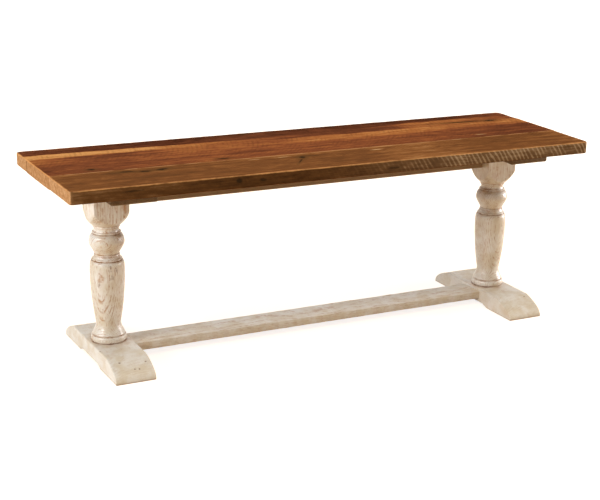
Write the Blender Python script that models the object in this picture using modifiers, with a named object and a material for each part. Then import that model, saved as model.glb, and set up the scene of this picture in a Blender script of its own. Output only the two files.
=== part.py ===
# Trestle bench: a plank seat on two turned posts, each on a shaped foot, the feet tied by a stretcher.
# Metres, +Z up. X runs along the seat, Y across it with the front at -Y.
# The origin is on the floor under the middle of the seat.

import math

import bmesh
import bpy
from mathutils import Matrix, Vector
from mathutils.geometry import interpolate_bezier

# Seat: three planks glued edge to edge
SEAT_LENGTH = 1.340
SEAT_DEPTH = 0.406
SEAT_HEIGHT = 0.457
SEAT_THICKNESS = 0.031
BACK_PLANK_WIDTH = 0.091
FRONT_PLANK_WIDTH = 0.146
SEAT_CORNER_RADIUS = 0.012
SEAT_EASING = 0.003

# Loose tongue glued into a stopped groove along each seam
TONGUE_WIDTH = 0.020
TONGUE_THICKNESS = 0.006
TONGUE_END_MARGIN = 0.080

# Posts, set in from the ends of the seat
POST_INSET = 0.146
BLOCK_SIDE = 0.083
BLOCK_LENGTH = 0.080
BLOCK_EASING = 0.0015
SHOULDER_HEIGHT = 0.040
SHOULDER_LEAN = 0.0045
SHOULDER_SPREAD = 0.009
SHOULDER_STEP = 0.0016
COLLAR_RADIUS = 0.031
COLLAR_HEIGHT = 0.0045
NECK_RADIUS = 0.0285
NECK_HEIGHT = 0.0105
NECK_RING_RADIUS = 0.0332
NECK_RING_HEIGHT = 0.0048
BALL_RADIUS = 0.0403
BALL_HEIGHT = 0.048
WAIST_RADIUS = 0.0277
WAIST_FILLET_RADIUS = 0.0298
WAIST_FILLET_HEIGHT = 0.0034
WAIST_COVE_HEIGHT = 0.0074
VASE_RING_RADIUS = 0.0350
VASE_RING_HEIGHT = 0.0042
VASE_RING_BULGE = 0.0018
VASE_RADIUS = 0.0398
ANKLE_RADIUS = 0.0288
ANKLE_HEIGHT = 0.045
FLARE_RADIUS = 0.0380
BASE_GROOVE_RADIUS = 0.0366
BASE_GROOVE_HEIGHT = 0.0022
BASE_RING_RADIUS = 0.0410
BASE_RING_HEIGHT = 0.0155
SPIGOT_RADIUS = 0.018
SPIGOT_LENGTH = 0.018
SPIGOT_CHAMFER = 0.001
TURNED_EDGE = 0.0006

# Round stretches of the posts: how far down each point lies and how full it is there, as shares
BALL_SHAPE = ((0, 0.38), (0.13, 0.79), (0.34, 1), (0.46, 1), (0.62, 0.79), (0.80, 0.40), (1, 0))
VASE_SHAPE = ((0.004, 0.65), (0.035, 0.87), (0.09, 0.97), (0.22, 1), (0.38, 0.93), (0.65, 0.65), (0.88, 0.25))
FLARE_SHAPE = ((0, 0), (0.42, 0.20), (0.80, 0.72), (1, 1))

# Feet, running front to back
FOOT_LENGTH = 0.366
FOOT_WIDTH = 0.095
FOOT_HEIGHT = 0.043
FOOT_FLAT_LENGTH = 0.236
FOOT_EASING = 0.003
TOE_HEIGHT = 0.005
# Handles of the toe's curve, as shares of its run and of its fall
TOE_LOW_HANDLE = (0.05, 0.42)
TOE_HIGH_HANDLE = (0.54, 0.26)
RELIEF_LENGTH = 0.146
RELIEF_RUN = 0.020
RELIEF_DEPTH = 0.007

# Stretcher, lying flat between the feet
STRETCHER_WIDTH = 0.076
STRETCHER_THICKNESS = 0.019
STRETCHER_LIFT = 0.017
STRETCHER_EASING = 0.0015
STRETCHER_TENON_LENGTH = 0.024
STRETCHER_TENON_WIDTH = 0.050
STRETCHER_TENON_THICKNESS = 0.010
TENON_EASING = 0.001
PIN_RADIUS = 0.004
PIN_COVER = 0.004

# Cleats across the underside of the seat, one over each post and a little to the right of its axis
CLEAT_WIDTH = 0.108
LEFT_CLEAT_OFFSET = 0.0155
RIGHT_CLEAT_OFFSET = 0.0065
CLEAT_END_MARGIN = 0.053
CLEAT_THICKNESS = 0.025
CLEAT_EASING = 0.004

# Rail on edge along the middle of the underside
RAIL_THICKNESS = 0.026
RAIL_DEPTH = 0.062
RAIL_EASING = 0.0015
RAIL_TENON_LENGTH = 0.012
RAIL_TENON_THICKNESS = 0.016
RAIL_TENON_SHOULDER = 0.006

# Countersunk wood screws: cleat to seat, cleat to post, rail to seat
SCREW_HEAD_RADIUS = 0.0042
SCREW_SHANK_RADIUS = 0.0021
SCREW_TIP_LENGTH = 0.006
SCREW_RIM = 0.0004
SCREW_SINK = 0.0005
CLEAT_SCREW_LENGTH = 0.043
CLEAT_SCREW_SPACING = 0.064
POST_SCREW_LENGTH = 0.075
POST_SCREW_SPACING = 0.048
RAIL_SCREW_LENGTH = 0.050
RAIL_SCREW_GRIP = 0.020
RAIL_SCREW_COUNT = 4
RAIL_SCREW_END_MARGIN = 0.130
COUNTERBORE_RADIUS = 0.0055

# Lag bolt and washer under each foot
BOLT_RADIUS = 0.004
BOLT_LENGTH = 0.067
BOLT_HEAD_FLATS = 0.013
BOLT_HEAD_HEIGHT = 0.0053
WASHER_RADIUS = 0.010
WASHER_THICKNESS = 0.0016
BOLT_POCKET_RADIUS = 0.0115
BOLT_POCKET_DEPTH = 0.008

# Gap left between two pieces that touch, and the least overlap of a cutter past a face
FIT = 0.0003
PAST = 0.002

# Facets around the turned pieces
POST_STEPS = 24
SMALL_STEPS = 10

# Distance under which two points of a mesh count as level with each other
NEAR = 0.0001

# Colours, as linear red, green and blue
BACK_PLANK_COLOUR = (0.105, 0.036, 0.016)
MIDDLE_PLANK_COLOUR = (0.175, 0.065, 0.025)
FRONT_PLANK_COLOUR = (0.155, 0.073, 0.029)
CLEAT_COLOUR = (0.095, 0.068, 0.045)
RAIL_COLOUR = (0.20, 0.125, 0.065)
PAINT_COLOUR = (0.68, 0.60, 0.48)
INNER_WOOD_COLOUR = (0.60, 0.42, 0.25)
ZINC_COLOUR = (0.55, 0.55, 0.55)
SCREW_COLOUR = (0.42, 0.40, 0.36)

# Places worked out from the sizes
seat_bottom = SEAT_HEIGHT - SEAT_THICKNESS
back_seam_y = SEAT_DEPTH / 2 - BACK_PLANK_WIDTH
front_seam_y = FRONT_PLANK_WIDTH - SEAT_DEPTH / 2
post_x = SEAT_LENGTH / 2 - POST_INSET
cleat_top = seat_bottom - FIT
cleat_bottom = cleat_top - CLEAT_THICKNESS
post_top = cleat_bottom - FIT
block_bottom = post_top - BLOCK_LENGTH
post_bottom = FOOT_HEIGHT + FIT
rail_top = seat_bottom - FIT
rail_bottom = rail_top - RAIL_DEPTH
block_face_x = post_x - BLOCK_SIDE / 2
foot_face_x = post_x - FOOT_WIDTH / 2
stretcher_middle = STRETCHER_LIFT + STRETCHER_THICKNESS / 2
cleat_x = {"left": LEFT_CLEAT_OFFSET - post_x, "right": post_x + RIGHT_CLEAT_OFFSET}
SIDES = (("left", -1), ("right", 1))


# Scene, materials and placing

def clear_scene():
    for old in list(bpy.data.objects):
        bpy.data.objects.remove(old, do_unlink=True)


def new_collection(name):
    collection = bpy.data.collections.new(name)
    bpy.context.scene.collection.children.link(collection)
    return collection


def new_material(name, colour, roughness, metallic=0.0):
    material = bpy.data.materials.new(name)
    material.use_nodes = True
    shader = material.node_tree.nodes["Principled BSDF"]
    shader.inputs["Base Color"].default_value = (*colour, 1.0)
    shader.inputs["Roughness"].default_value = roughness
    shader.inputs["Metallic"].default_value = metallic
    return material


clear_scene()
bench = new_collection("bench")
cutters = new_collection("cutters")
frame = bpy.data.objects.new("bench_frame", None)
bench.objects.link(frame)


def place_part(name, mesh, location, colour, roughness, metallic=0.0, smooth=False):
    part = bpy.data.objects.new(name, mesh)
    part.location = location
    part.parent = frame
    bench.objects.link(part)
    if smooth:
        mesh.shade_smooth()
        mesh.set_sharp_from_angle(angle=math.radians(35))
    if not mesh.materials:
        mesh.materials.append(new_material(name + "_finish", colour, roughness, metallic))
    return part


def place_cutter(name, mesh, location):
    cutter = bpy.data.objects.new(name, mesh)
    cutter.location = location
    cutter.hide_render = True
    cutter.display_type = "WIRE"
    cutters.objects.link(cutter)
    return cutter


def apply_boolean(part, cutter, operation="DIFFERENCE"):
    step = part.modifiers.new(operation.lower() + "_" + cutter.name, "BOOLEAN")
    step.operation = operation
    step.solver = "EXACT"
    step.object = cutter


def ease_edges(part, width, segments=2, angle=45):
    bevel = part.modifiers.new("eased_edges", "BEVEL")
    bevel.width = width
    bevel.segments = segments
    bevel.limit_method = "ANGLE"
    bevel.angle_limit = math.radians(angle)


# Shapes

def box_mesh(name, size):
    mesh = bpy.data.meshes.new(name)
    shape = bmesh.new()
    bmesh.ops.create_cube(shape, size=1.0)
    bmesh.ops.scale(shape, vec=size, verts=shape.verts)
    shape.to_mesh(mesh)
    shape.free()
    return mesh


def prism_mesh(name, sides, radius, height):
    # An upright prism or cylinder that stands on its own origin
    mesh = bpy.data.meshes.new(name)
    shape = bmesh.new()
    bmesh.ops.create_cone(
        shape, cap_ends=True, segments=sides, radius1=radius, radius2=radius, depth=height)
    bmesh.ops.translate(shape, vec=(0, 0, height / 2), verts=shape.verts)
    shape.to_mesh(mesh)
    shape.free()
    return mesh


def turned_object(name, profile, steps):
    # The profile runs from the axis at the top, down the outer side and back to the axis
    mesh = bpy.data.meshes.new(name)
    corners = [(radius, 0, height) for radius, height in profile]
    mesh.from_pydata(corners, [(i, i + 1) for i in range(len(corners) - 1)], [])
    turned = bpy.data.objects.new(name, mesh)
    screw = turned.modifiers.new("turning", "SCREW")
    screw.axis = "Z"
    screw.steps = steps
    screw.render_steps = steps
    screw.use_merge_vertices = True
    screw.merge_threshold = 0.00001
    return turned


def evaluated_mesh(source):
    # The finished mesh of an object that is linked only while it is read
    bench.objects.link(source)
    depsgraph = bpy.context.evaluated_depsgraph_get()
    mesh = bpy.data.meshes.new_from_object(source.evaluated_get(depsgraph), depsgraph=depsgraph)
    bpy.data.objects.remove(source, do_unlink=True)
    return mesh


def turned_mesh(name, profile, steps):
    return evaluated_mesh(turned_object(name, profile, steps))


def outline_mesh(name, outline, thickness):
    # A flat outline in the mesh's own XY plane, thickened evenly to both sides of it
    curve = bpy.data.curves.new(name, "CURVE")
    curve.dimensions = "2D"
    curve.fill_mode = "BOTH"
    curve.extrude = thickness / 2
    spline = curve.splines.new("POLY")
    spline.points.add(len(outline) - 1)
    for point, (u, v) in zip(spline.points, outline):
        point.co = (u, v, 0, 1)
    spline.use_cyclic_u = True
    mesh = evaluated_mesh(bpy.data.objects.new(name, curve))
    shape = bmesh.new()
    shape.from_mesh(mesh)
    bmesh.ops.remove_doubles(shape, verts=shape.verts, dist=0.00001)
    shape.to_mesh(mesh)
    shape.free()
    return mesh


def repeated_mesh(name, mesh, places):
    # Copies of one solid at several places, kept as separate solids in one mesh
    group = bpy.data.meshes.new(name)
    shape = bmesh.new()
    for place in places:
        copy = mesh.copy()
        copy.transform(place)
        shape.from_mesh(copy)
        bpy.data.meshes.remove(copy)
    shape.to_mesh(group)
    shape.free()
    return group


def smooth_run(points, steps):
    # A smooth curve through the points, for the round stretches of a profile
    ends = [Vector(point) for point in points]
    ends = [2 * ends[0] - ends[1]] + ends + [2 * ends[-1] - ends[-2]]
    run = []
    for before, start, end, after in zip(ends, ends[1:], ends[2:], ends[3:]):
        leave = start + (end - before) / 6
        arrive = end - (after - start) / 6
        run += [tuple(point[:2]) for point in interpolate_bezier(start, leave, arrive, end, steps + 1)[:-1]]
    return run + [tuple(points[-1])]


def half_round(radius, bulge, top, height, steps):
    # A bead of the given height that stands out by bulge to the radius, listed from top to bottom
    bead = []
    for i in range(steps + 1):
        turn = math.pi * i / steps
        bead.append((radius - bulge + bulge * math.sin(turn), top - height / 2 * (1 - math.cos(turn))))
    return bead


# Seat planks

def plank_mesh(name, width, seam_back, seam_front):
    # The outer corners are rounded in plan, and every edge is eased except along a glued seam
    mesh = bpy.data.meshes.new(name)
    shape = bmesh.new()
    bmesh.ops.create_cube(shape, size=1.0)
    bmesh.ops.scale(shape, vec=(SEAT_LENGTH, width, SEAT_THICKNESS), verts=shape.verts)

    def on_seam(vertex):
        back = seam_back and vertex.co.y > width / 2 - NEAR
        front = seam_front and vertex.co.y < NEAR - width / 2
        return back or front

    corners = []
    for edge in shape.edges:
        a, b = edge.verts
        if abs(a.co.z - b.co.z) > SEAT_THICKNESS / 2 and not on_seam(a):
            corners.append(edge)
    if corners:
        bmesh.ops.bevel(
            shape, geom=corners, offset=SEAT_CORNER_RADIUS, segments=4, profile=0.5, affect="EDGES")
    rims = []
    for edge in shape.edges:
        a, b = edge.verts
        level = abs(a.co.z - b.co.z) < NEAR
        if level and not (on_seam(a) and on_seam(b)):
            rims.append(edge)
    bmesh.ops.bevel(shape, geom=rims, offset=SEAT_EASING, segments=2, profile=0.5, affect="EDGES")
    shape.to_mesh(mesh)
    shape.free()
    return mesh


def add_planks():
    back_edge = SEAT_DEPTH / 2
    # name, y of its front face, y of its back face, glued at its back, glued at its front, colour
    planks = (
        ("seat_plank_back", back_seam_y + FIT / 2, back_edge, False, True, BACK_PLANK_COLOUR),
        ("seat_plank_middle", front_seam_y + FIT / 2, back_seam_y - FIT / 2, True, True,
         MIDDLE_PLANK_COLOUR),
        ("seat_plank_front", -back_edge, front_seam_y - FIT / 2, True, False, FRONT_PLANK_COLOUR),
    )
    made = {}
    for name, front, back, seam_back, seam_front, colour in planks:
        mesh = plank_mesh(name, back - front, seam_back, seam_front)
        middle = (0, (front + back) / 2, seat_bottom + SEAT_THICKNESS / 2)
        made[name] = place_part(name, mesh, middle, colour, 0.45)
    return made


def add_tongues(planks):
    level = seat_bottom + SEAT_THICKNESS / 2
    tongue_size = (SEAT_LENGTH - 2 * TONGUE_END_MARGIN, TONGUE_WIDTH, TONGUE_THICKNESS)
    groove_size = tuple(size + 2 * FIT for size in tongue_size)
    seams = (
        ("back", back_seam_y, ("seat_plank_back", "seat_plank_middle")),
        ("front", front_seam_y, ("seat_plank_middle", "seat_plank_front")),
    )
    for seam, y, joined in seams:
        name = "seam_tongue_" + seam
        place_part(name, box_mesh(name, tongue_size), (0, y, level), INNER_WOOD_COLOUR, 0.8)
        groove = place_cutter("groove_" + seam, box_mesh("groove_" + seam, groove_size), (0, y, level))
        for plank in joined:
            apply_boolean(planks[plank], groove)


# Posts

def shaped_run(shape, top, height, thin, full):
    # Points of a round stretch that starts at the height top, from its shape given as shares
    return [(thin + (full - thin) * fullness, top - height * drop) for drop, fullness in shape]


def post_profile():
    # Radius and height, from the axis at the top of the block down to the end of the spigot
    corner = BLOCK_SIDE / math.sqrt(2) + PAST / 2
    profile = [(0, post_top), (corner, post_top)]

    # Rounded shoulder that cuts the block's corners away
    shoulder = interpolate_bezier(
        Vector((corner, block_bottom + SHOULDER_HEIGHT)),
        Vector((corner - SHOULDER_LEAN, block_bottom + SHOULDER_HEIGHT * 0.55)),
        Vector((COLLAR_RADIUS + SHOULDER_SPREAD, block_bottom + SHOULDER_HEIGHT * 0.15)),
        Vector((COLLAR_RADIUS + SHOULDER_STEP, block_bottom)), 7)
    profile += [tuple(point[:2]) for point in shoulder]

    # Collar, then the hollow neck
    z = block_bottom - COLLAR_HEIGHT
    profile += [(COLLAR_RADIUS, block_bottom), (COLLAR_RADIUS, z)]
    lip = (COLLAR_RADIUS + NECK_RADIUS) / 2
    profile += smooth_run([(lip, z), (NECK_RADIUS, z - NECK_HEIGHT * 0.45), (lip, z - NECK_HEIGHT)], 2)
    z -= NECK_HEIGHT

    # Ring over the ball
    profile += half_round(NECK_RING_RADIUS, NECK_RING_RADIUS - lip, z, NECK_RING_HEIGHT, 4)[1:]
    z -= NECK_RING_HEIGHT

    # Ball, drawn in to the waist under it
    profile += smooth_run(shaped_run(BALL_SHAPE, z, BALL_HEIGHT, WAIST_RADIUS, BALL_RADIUS), 2)
    z -= BALL_HEIGHT

    # Fillet and cove under the waist
    profile.append((WAIST_FILLET_RADIUS - TURNED_EDGE, z - 2 * TURNED_EDGE))
    profile.append((WAIST_FILLET_RADIUS, z - WAIST_FILLET_HEIGHT))
    z -= WAIST_FILLET_HEIGHT
    cove_end = VASE_RING_RADIUS - VASE_RING_BULGE
    profile += smooth_run([
        (WAIST_FILLET_RADIUS - TURNED_EDGE, z - TURNED_EDGE),
        ((2 * WAIST_FILLET_RADIUS + cove_end) / 3, z - WAIST_COVE_HEIGHT * 0.6),
        (cove_end, z - WAIST_COVE_HEIGHT)], 2)
    z -= WAIST_COVE_HEIGHT

    # Ring at the top of the vase
    profile += half_round(VASE_RING_RADIUS, VASE_RING_BULGE, z, VASE_RING_HEIGHT, 4)[1:]
    z -= VASE_RING_HEIGHT

    # Vase: it takes up whatever height is left between the ring and the ankle, then flares to the base
    base_top = post_bottom + BASE_RING_HEIGHT + BASE_GROOVE_HEIGHT
    ankle = post_bottom + ANKLE_HEIGHT
    vase = shaped_run(VASE_SHAPE, z, z - ankle, ANKLE_RADIUS, VASE_RADIUS)
    flare = shaped_run(FLARE_SHAPE, ankle, ankle - base_top, ANKLE_RADIUS, FLARE_RADIUS)
    profile += smooth_run(vase + flare, 2)

    # Groove and base ring, then the spigot that goes into the foot
    groove_bottom = base_top - BASE_GROOVE_HEIGHT
    profile += [(BASE_GROOVE_RADIUS, base_top - TURNED_EDGE), (BASE_GROOVE_RADIUS, groove_bottom)]
    bulge = BASE_RING_RADIUS - BASE_GROOVE_RADIUS - TURNED_EDGE
    profile += half_round(BASE_RING_RADIUS, bulge, groove_bottom, BASE_RING_HEIGHT, 6)
    spigot_end = post_bottom - SPIGOT_LENGTH
    profile += [(SPIGOT_RADIUS, post_bottom), (SPIGOT_RADIUS, spigot_end + SPIGOT_CHAMFER),
                (SPIGOT_RADIUS - SPIGOT_CHAMFER, spigot_end), (0, spigot_end)]
    return profile


def add_posts():
    posts = {}
    profile = post_profile()
    blank_height = post_top + PAST
    for side, sign in SIDES:
        name = "post_" + side
        post = turned_object(name, profile, POST_STEPS)
        bench.objects.link(post)
        post.location = (sign * post_x, 0, 0)
        post.parent = frame
        post.data.shade_smooth()
        post.data.materials.append(new_material(name + "_finish", PAINT_COLOUR, 0.42))
        # The square blank that the post is turned from
        blank = box_mesh("blank_" + side, (BLOCK_SIDE, BLOCK_SIDE, blank_height))
        blank = place_cutter("blank_" + side, blank, (sign * post_x, 0, blank_height / 2))
        ease_edges(blank, BLOCK_EASING, segments=1, angle=60)
        apply_boolean(post, blank, "INTERSECT")
        posts[side] = post
    return posts


# Feet

def foot_outline():
    # Seen from the end: depth along Y and height along Z, anticlockwise from the middle of the relief
    half = FOOT_LENGTH / 2
    flat = FOOT_FLAT_LENGTH / 2
    slope = half - flat
    fall = FOOT_HEIGHT - TOE_HEIGHT
    low_run, low_fall = TOE_LOW_HANDLE
    high_run, high_fall = TOE_HIGH_HANDLE
    toe = interpolate_bezier(
        Vector((half, TOE_HEIGHT)), Vector((half - slope * low_run, TOE_HEIGHT + fall * low_fall)),
        Vector((flat + slope * high_run, FOOT_HEIGHT - fall * high_fall)), Vector((flat, FOOT_HEIGHT)), 9)
    relief = RELIEF_LENGTH / 2
    right = [(relief - RELIEF_RUN, RELIEF_DEPTH), (relief, 0), (half, 0)]
    right += [tuple(point[:2]) for point in toe]
    return right + [(-y, z) for y, z in reversed(right)]


def add_feet():
    feet = {}
    shape = outline_mesh("foot", foot_outline(), FOOT_WIDTH)
    for side, sign in SIDES:
        foot = place_part("foot_" + side, shape.copy(), (sign * post_x, 0, 0), PAINT_COLOUR, 0.5)
        foot.rotation_euler = (math.pi / 2, 0, math.pi / 2)
        ease_edges(foot, FOOT_EASING)
        feet[side] = foot
    return feet


# Joint between post and foot: spigot in its socket, lag bolt and washer from below

def add_foot_joints(posts, feet):
    pocket_top = RELIEF_DEPTH + BOLT_POCKET_DEPTH
    socket_bottom = post_bottom - SPIGOT_LENGTH - FIT
    socket_top = FOOT_HEIGHT + PAST
    bore = turned_mesh("foot_bore", [
        (0, socket_top), (SPIGOT_RADIUS + FIT, socket_top), (SPIGOT_RADIUS + FIT, socket_bottom),
        (BOLT_RADIUS + FIT, socket_bottom), (BOLT_RADIUS + FIT, pocket_top),
        (BOLT_POCKET_RADIUS, pocket_top), (BOLT_POCKET_RADIUS, -PAST), (0, -PAST)], 2 * SMALL_STEPS)
    washer_top = pocket_top - FIT
    head_top = washer_top - WASHER_THICKNESS - FIT
    head_bottom = head_top - BOLT_HEAD_HEIGHT
    bolt_top = head_top + BOLT_LENGTH
    pilot_bottom = post_bottom - SPIGOT_LENGTH - PAST
    pilot = prism_mesh("bolt_pilot", SMALL_STEPS, BOLT_RADIUS + FIT, bolt_top + FIT - pilot_bottom)
    washer_hole = prism_mesh("washer_hole", SMALL_STEPS, BOLT_RADIUS + FIT, WASHER_THICKNESS + 2 * PAST)
    for side, sign in SIDES:
        x = sign * post_x
        apply_boolean(feet[side], place_cutter("foot_bore_" + side, bore.copy(), (x, 0, 0)))
        apply_boolean(posts[side], place_cutter("bolt_pilot_" + side, pilot.copy(), (x, 0, pilot_bottom)))

        washer_name = "foot_washer_" + side
        washer = place_part(
            washer_name, prism_mesh(washer_name, 2 * SMALL_STEPS, WASHER_RADIUS, WASHER_THICKNESS),
            (x, 0, washer_top - WASHER_THICKNESS), ZINC_COLOUR, 0.4, 1.0, smooth=True)
        apply_boolean(washer, place_cutter("washer_hole_" + side, washer_hole.copy(),
                                           (x, 0, washer_top - WASHER_THICKNESS - PAST)))

        bolt_name = "foot_bolt_" + side
        shank_bottom = head_bottom + BOLT_HEAD_HEIGHT / 2
        shank = turned_mesh("bolt_shank", [
            (0, bolt_top), (BOLT_RADIUS / 3, bolt_top), (BOLT_RADIUS, bolt_top - 3 * BOLT_RADIUS),
            (BOLT_RADIUS, shank_bottom), (0, shank_bottom)], SMALL_STEPS)
        bolt = place_part(bolt_name, shank, (x, 0, 0), ZINC_COLOUR, 0.35, 1.0, smooth=True)
        head_radius = BOLT_HEAD_FLATS / math.sqrt(3)
        head = prism_mesh("bolt_head_" + side, 6, head_radius, BOLT_HEAD_HEIGHT)
        apply_boolean(bolt, place_cutter("bolt_head_" + side, head, (x, 0, head_bottom)), "UNION")


# Stretcher with its tenons and pins

def board_mesh(name, size, easing):
    # A box whose long edges are eased and whose ends stay square
    mesh = box_mesh(name, size)
    shape = bmesh.new()
    shape.from_mesh(mesh)
    long_edges = [edge for edge in shape.edges if edge.calc_length() > size[0] / 2]
    bmesh.ops.bevel(shape, geom=long_edges, offset=easing, segments=2, profile=0.5, affect="EDGES")
    shape.to_mesh(mesh)
    shape.free()
    return mesh


def add_stretcher(feet):
    half = foot_face_x - FIT
    body = board_mesh("stretcher", (2 * half, STRETCHER_WIDTH, STRETCHER_THICKNESS), STRETCHER_EASING)
    stretcher = place_part("stretcher", body, (0, 0, stretcher_middle), PAINT_COLOUR, 0.5)

    tenon_size = (2 * STRETCHER_TENON_LENGTH, STRETCHER_TENON_WIDTH, STRETCHER_TENON_THICKNESS)
    mortise_size = tuple(size + 2 * FIT for size in tenon_size)
    pin_x = foot_face_x + STRETCHER_TENON_LENGTH / 2
    pin_bottom = RELIEF_DEPTH + FIT
    pin_top = FOOT_HEIGHT - PIN_COVER
    pin_height = pin_top - pin_bottom
    hole = prism_mesh("pin_hole", SMALL_STEPS, PIN_RADIUS + FIT, pin_top + FIT + PAST)
    for side, sign in SIDES:
        tenon = place_cutter("tenon_" + side, box_mesh("tenon_" + side, tenon_size),
                             (sign * half, 0, stretcher_middle))
        ease_edges(tenon, TENON_EASING, segments=1, angle=60)
        apply_boolean(stretcher, tenon, "UNION")
        mortise = place_cutter("mortise_" + side, box_mesh("mortise_" + side, mortise_size),
                               (sign * half, 0, stretcher_middle))
        apply_boolean(feet[side], mortise)
        pin_hole = place_cutter("pin_hole_" + side, hole.copy(), (sign * pin_x, 0, -PAST))
        apply_boolean(feet[side], pin_hole)
        apply_boolean(stretcher, pin_hole)
        pin_name = "stretcher_pin_" + side
        place_part(pin_name, prism_mesh(pin_name, SMALL_STEPS, PIN_RADIUS, pin_height),
                   (sign * pin_x, 0, pin_bottom), INNER_WOOD_COLOUR, 0.7, smooth=True)


# Cleats, rail and the screws that hold them

def screw_profile(length):
    # A countersunk screw with its head up: head at height 0, tip at -length
    cone = SCREW_HEAD_RADIUS - SCREW_SHANK_RADIUS
    return [(0, 0), (SCREW_HEAD_RADIUS, 0), (SCREW_HEAD_RADIUS, -SCREW_RIM),
            (SCREW_SHANK_RADIUS, -SCREW_RIM - cone), (SCREW_SHANK_RADIUS, SCREW_TIP_LENGTH - length),
            (SCREW_SHANK_RADIUS / 4, -length), (0, -length)]


def screw_hole_profile(length, well_radius, well_depth):
    # The same screw with room around it, and a well from its head out to the surface
    cone = SCREW_HEAD_RADIUS - SCREW_SHANK_RADIUS
    seat = -SCREW_RIM - FIT
    return [(0, well_depth), (well_radius, well_depth), (well_radius, seat), (SCREW_HEAD_RADIUS + FIT, seat),
            (SCREW_SHANK_RADIUS + FIT, seat - cone), (SCREW_SHANK_RADIUS + FIT, SCREW_TIP_LENGTH - length),
            (SCREW_SHANK_RADIUS / 4 + FIT, -length - FIT), (0, -length - FIT)]


def add_screws(name, length, heads, upward, drilled, well_radius, well_depth):
    # One screw at each head, and the holes that they need in each of the pieces they pass into
    turn = math.pi if upward else 0
    screw = turned_mesh("screw", screw_profile(length), SMALL_STEPS)
    for number, head in enumerate(heads, 1):
        part = place_part(f"{name}_{number}", screw, head, SCREW_COLOUR, 0.4, 1.0, smooth=True)
        part.rotation_euler.x = turn
    hole = turned_mesh("screw_hole", screw_hole_profile(length, well_radius, well_depth), SMALL_STEPS)
    places = [Matrix.Translation(head) @ Matrix.Rotation(turn, 4, "X") for head in heads]
    holes = place_cutter(name + "_holes", repeated_mesh(name + "_holes", hole, places), (0, 0, 0))
    for piece in drilled:
        apply_boolean(piece, holes)


def add_cleats(planks, posts):
    # Two screws in each plank, clear of the post: halfway along the part of the cleat that is under it
    half_cleat = SEAT_DEPTH / 2 - CLEAT_END_MARGIN
    well = (SCREW_HEAD_RADIUS + 2 * FIT, SCREW_SINK + PAST)
    rows = (
        (back_seam_y + half_cleat) / 2,
        (BLOCK_SIDE / 2 + back_seam_y) / 2,
        (front_seam_y - half_cleat) / 2,
    )
    for side, sign in SIDES:
        x = cleat_x[side]
        name = "cleat_" + side
        middle = (x, 0, (cleat_top + cleat_bottom) / 2)
        cleat = place_part(name, box_mesh(name, (CLEAT_WIDTH, 2 * half_cleat, CLEAT_THICKNESS)), middle,
                           CLEAT_COLOUR, 0.8)
        ease_edges(cleat, CLEAT_EASING)
        up = [(x + across, y, cleat_bottom + SCREW_SINK)
              for y in rows for across in (-CLEAT_SCREW_SPACING / 2, CLEAT_SCREW_SPACING / 2)]
        add_screws("cleat_screw_" + side, CLEAT_SCREW_LENGTH, up, True, [cleat, *planks.values()], *well)
        down = [(sign * post_x, y, cleat_top - SCREW_SINK)
                for y in (-POST_SCREW_SPACING / 2, POST_SCREW_SPACING / 2)]
        add_screws("post_screw_" + side, POST_SCREW_LENGTH, down, False, [cleat, posts[side]], *well)


def add_rail(planks, posts):
    half = block_face_x - FIT
    body = box_mesh("centre_rail", (2 * half, RAIL_THICKNESS, RAIL_DEPTH))
    rail = place_part("centre_rail", body, (0, 0, (rail_top + rail_bottom) / 2), RAIL_COLOUR, 0.7)
    ease_edges(rail, RAIL_EASING, segments=1)

    # Its ends pass under the cleats and are let into the blocks
    notch_height = CLEAT_THICKNESS + 2 * FIT + PAST
    notch_z = cleat_bottom - FIT + notch_height / 2
    tenon_low = rail_bottom + RAIL_TENON_SHOULDER
    tenon_high = cleat_bottom - FIT - RAIL_TENON_SHOULDER
    tenon_size = (2 * RAIL_TENON_LENGTH, RAIL_TENON_THICKNESS, tenon_high - tenon_low)
    mortise_size = tuple(size + 2 * FIT for size in tenon_size)
    tenon_z = (tenon_low + tenon_high) / 2
    for side, sign in SIDES:
        cleat_inner_x = abs(cleat_x[side]) - CLEAT_WIDTH / 2
        notch_length = half - cleat_inner_x + FIT
        notch_size = (2 * notch_length, RAIL_THICKNESS + 2 * PAST, notch_height)
        notch = box_mesh("notch_" + side, notch_size)
        notch = place_cutter("notch_" + side, notch, (sign * half, 0, notch_z))
        apply_boolean(rail, notch)
        tenon = place_cutter("rail_tenon_" + side, box_mesh("rail_tenon_" + side, tenon_size),
                             (sign * half, 0, tenon_z))
        apply_boolean(rail, tenon, "UNION")
        mortise = place_cutter("rail_mortise_" + side, box_mesh("rail_mortise_" + side, mortise_size),
                               (sign * half, 0, tenon_z))
        apply_boolean(posts[side], mortise)

    # Screws up into the middle plank from deep counterbores
    head_z = seat_bottom + RAIL_SCREW_GRIP - RAIL_SCREW_LENGTH
    first = half - RAIL_SCREW_END_MARGIN
    spacing = 2 * first / (RAIL_SCREW_COUNT - 1)
    heads = [(first - i * spacing, 0, head_z) for i in range(RAIL_SCREW_COUNT)]
    add_screws("rail_screw", RAIL_SCREW_LENGTH, heads, True, [rail, planks["seat_plank_middle"]],
               COUNTERBORE_RADIUS, head_z - rail_bottom + PAST)


planks = add_planks()
add_tongues(planks)
posts = add_posts()
feet = add_feet()
add_foot_joints(posts, feet)
add_stretcher(feet)
add_cleats(planks, posts)
add_rail(planks, posts)
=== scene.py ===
import math

import bmesh
import bpy
from mathutils import Matrix, Vector, noise
from mathutils.geometry import interpolate_bezier


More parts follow.
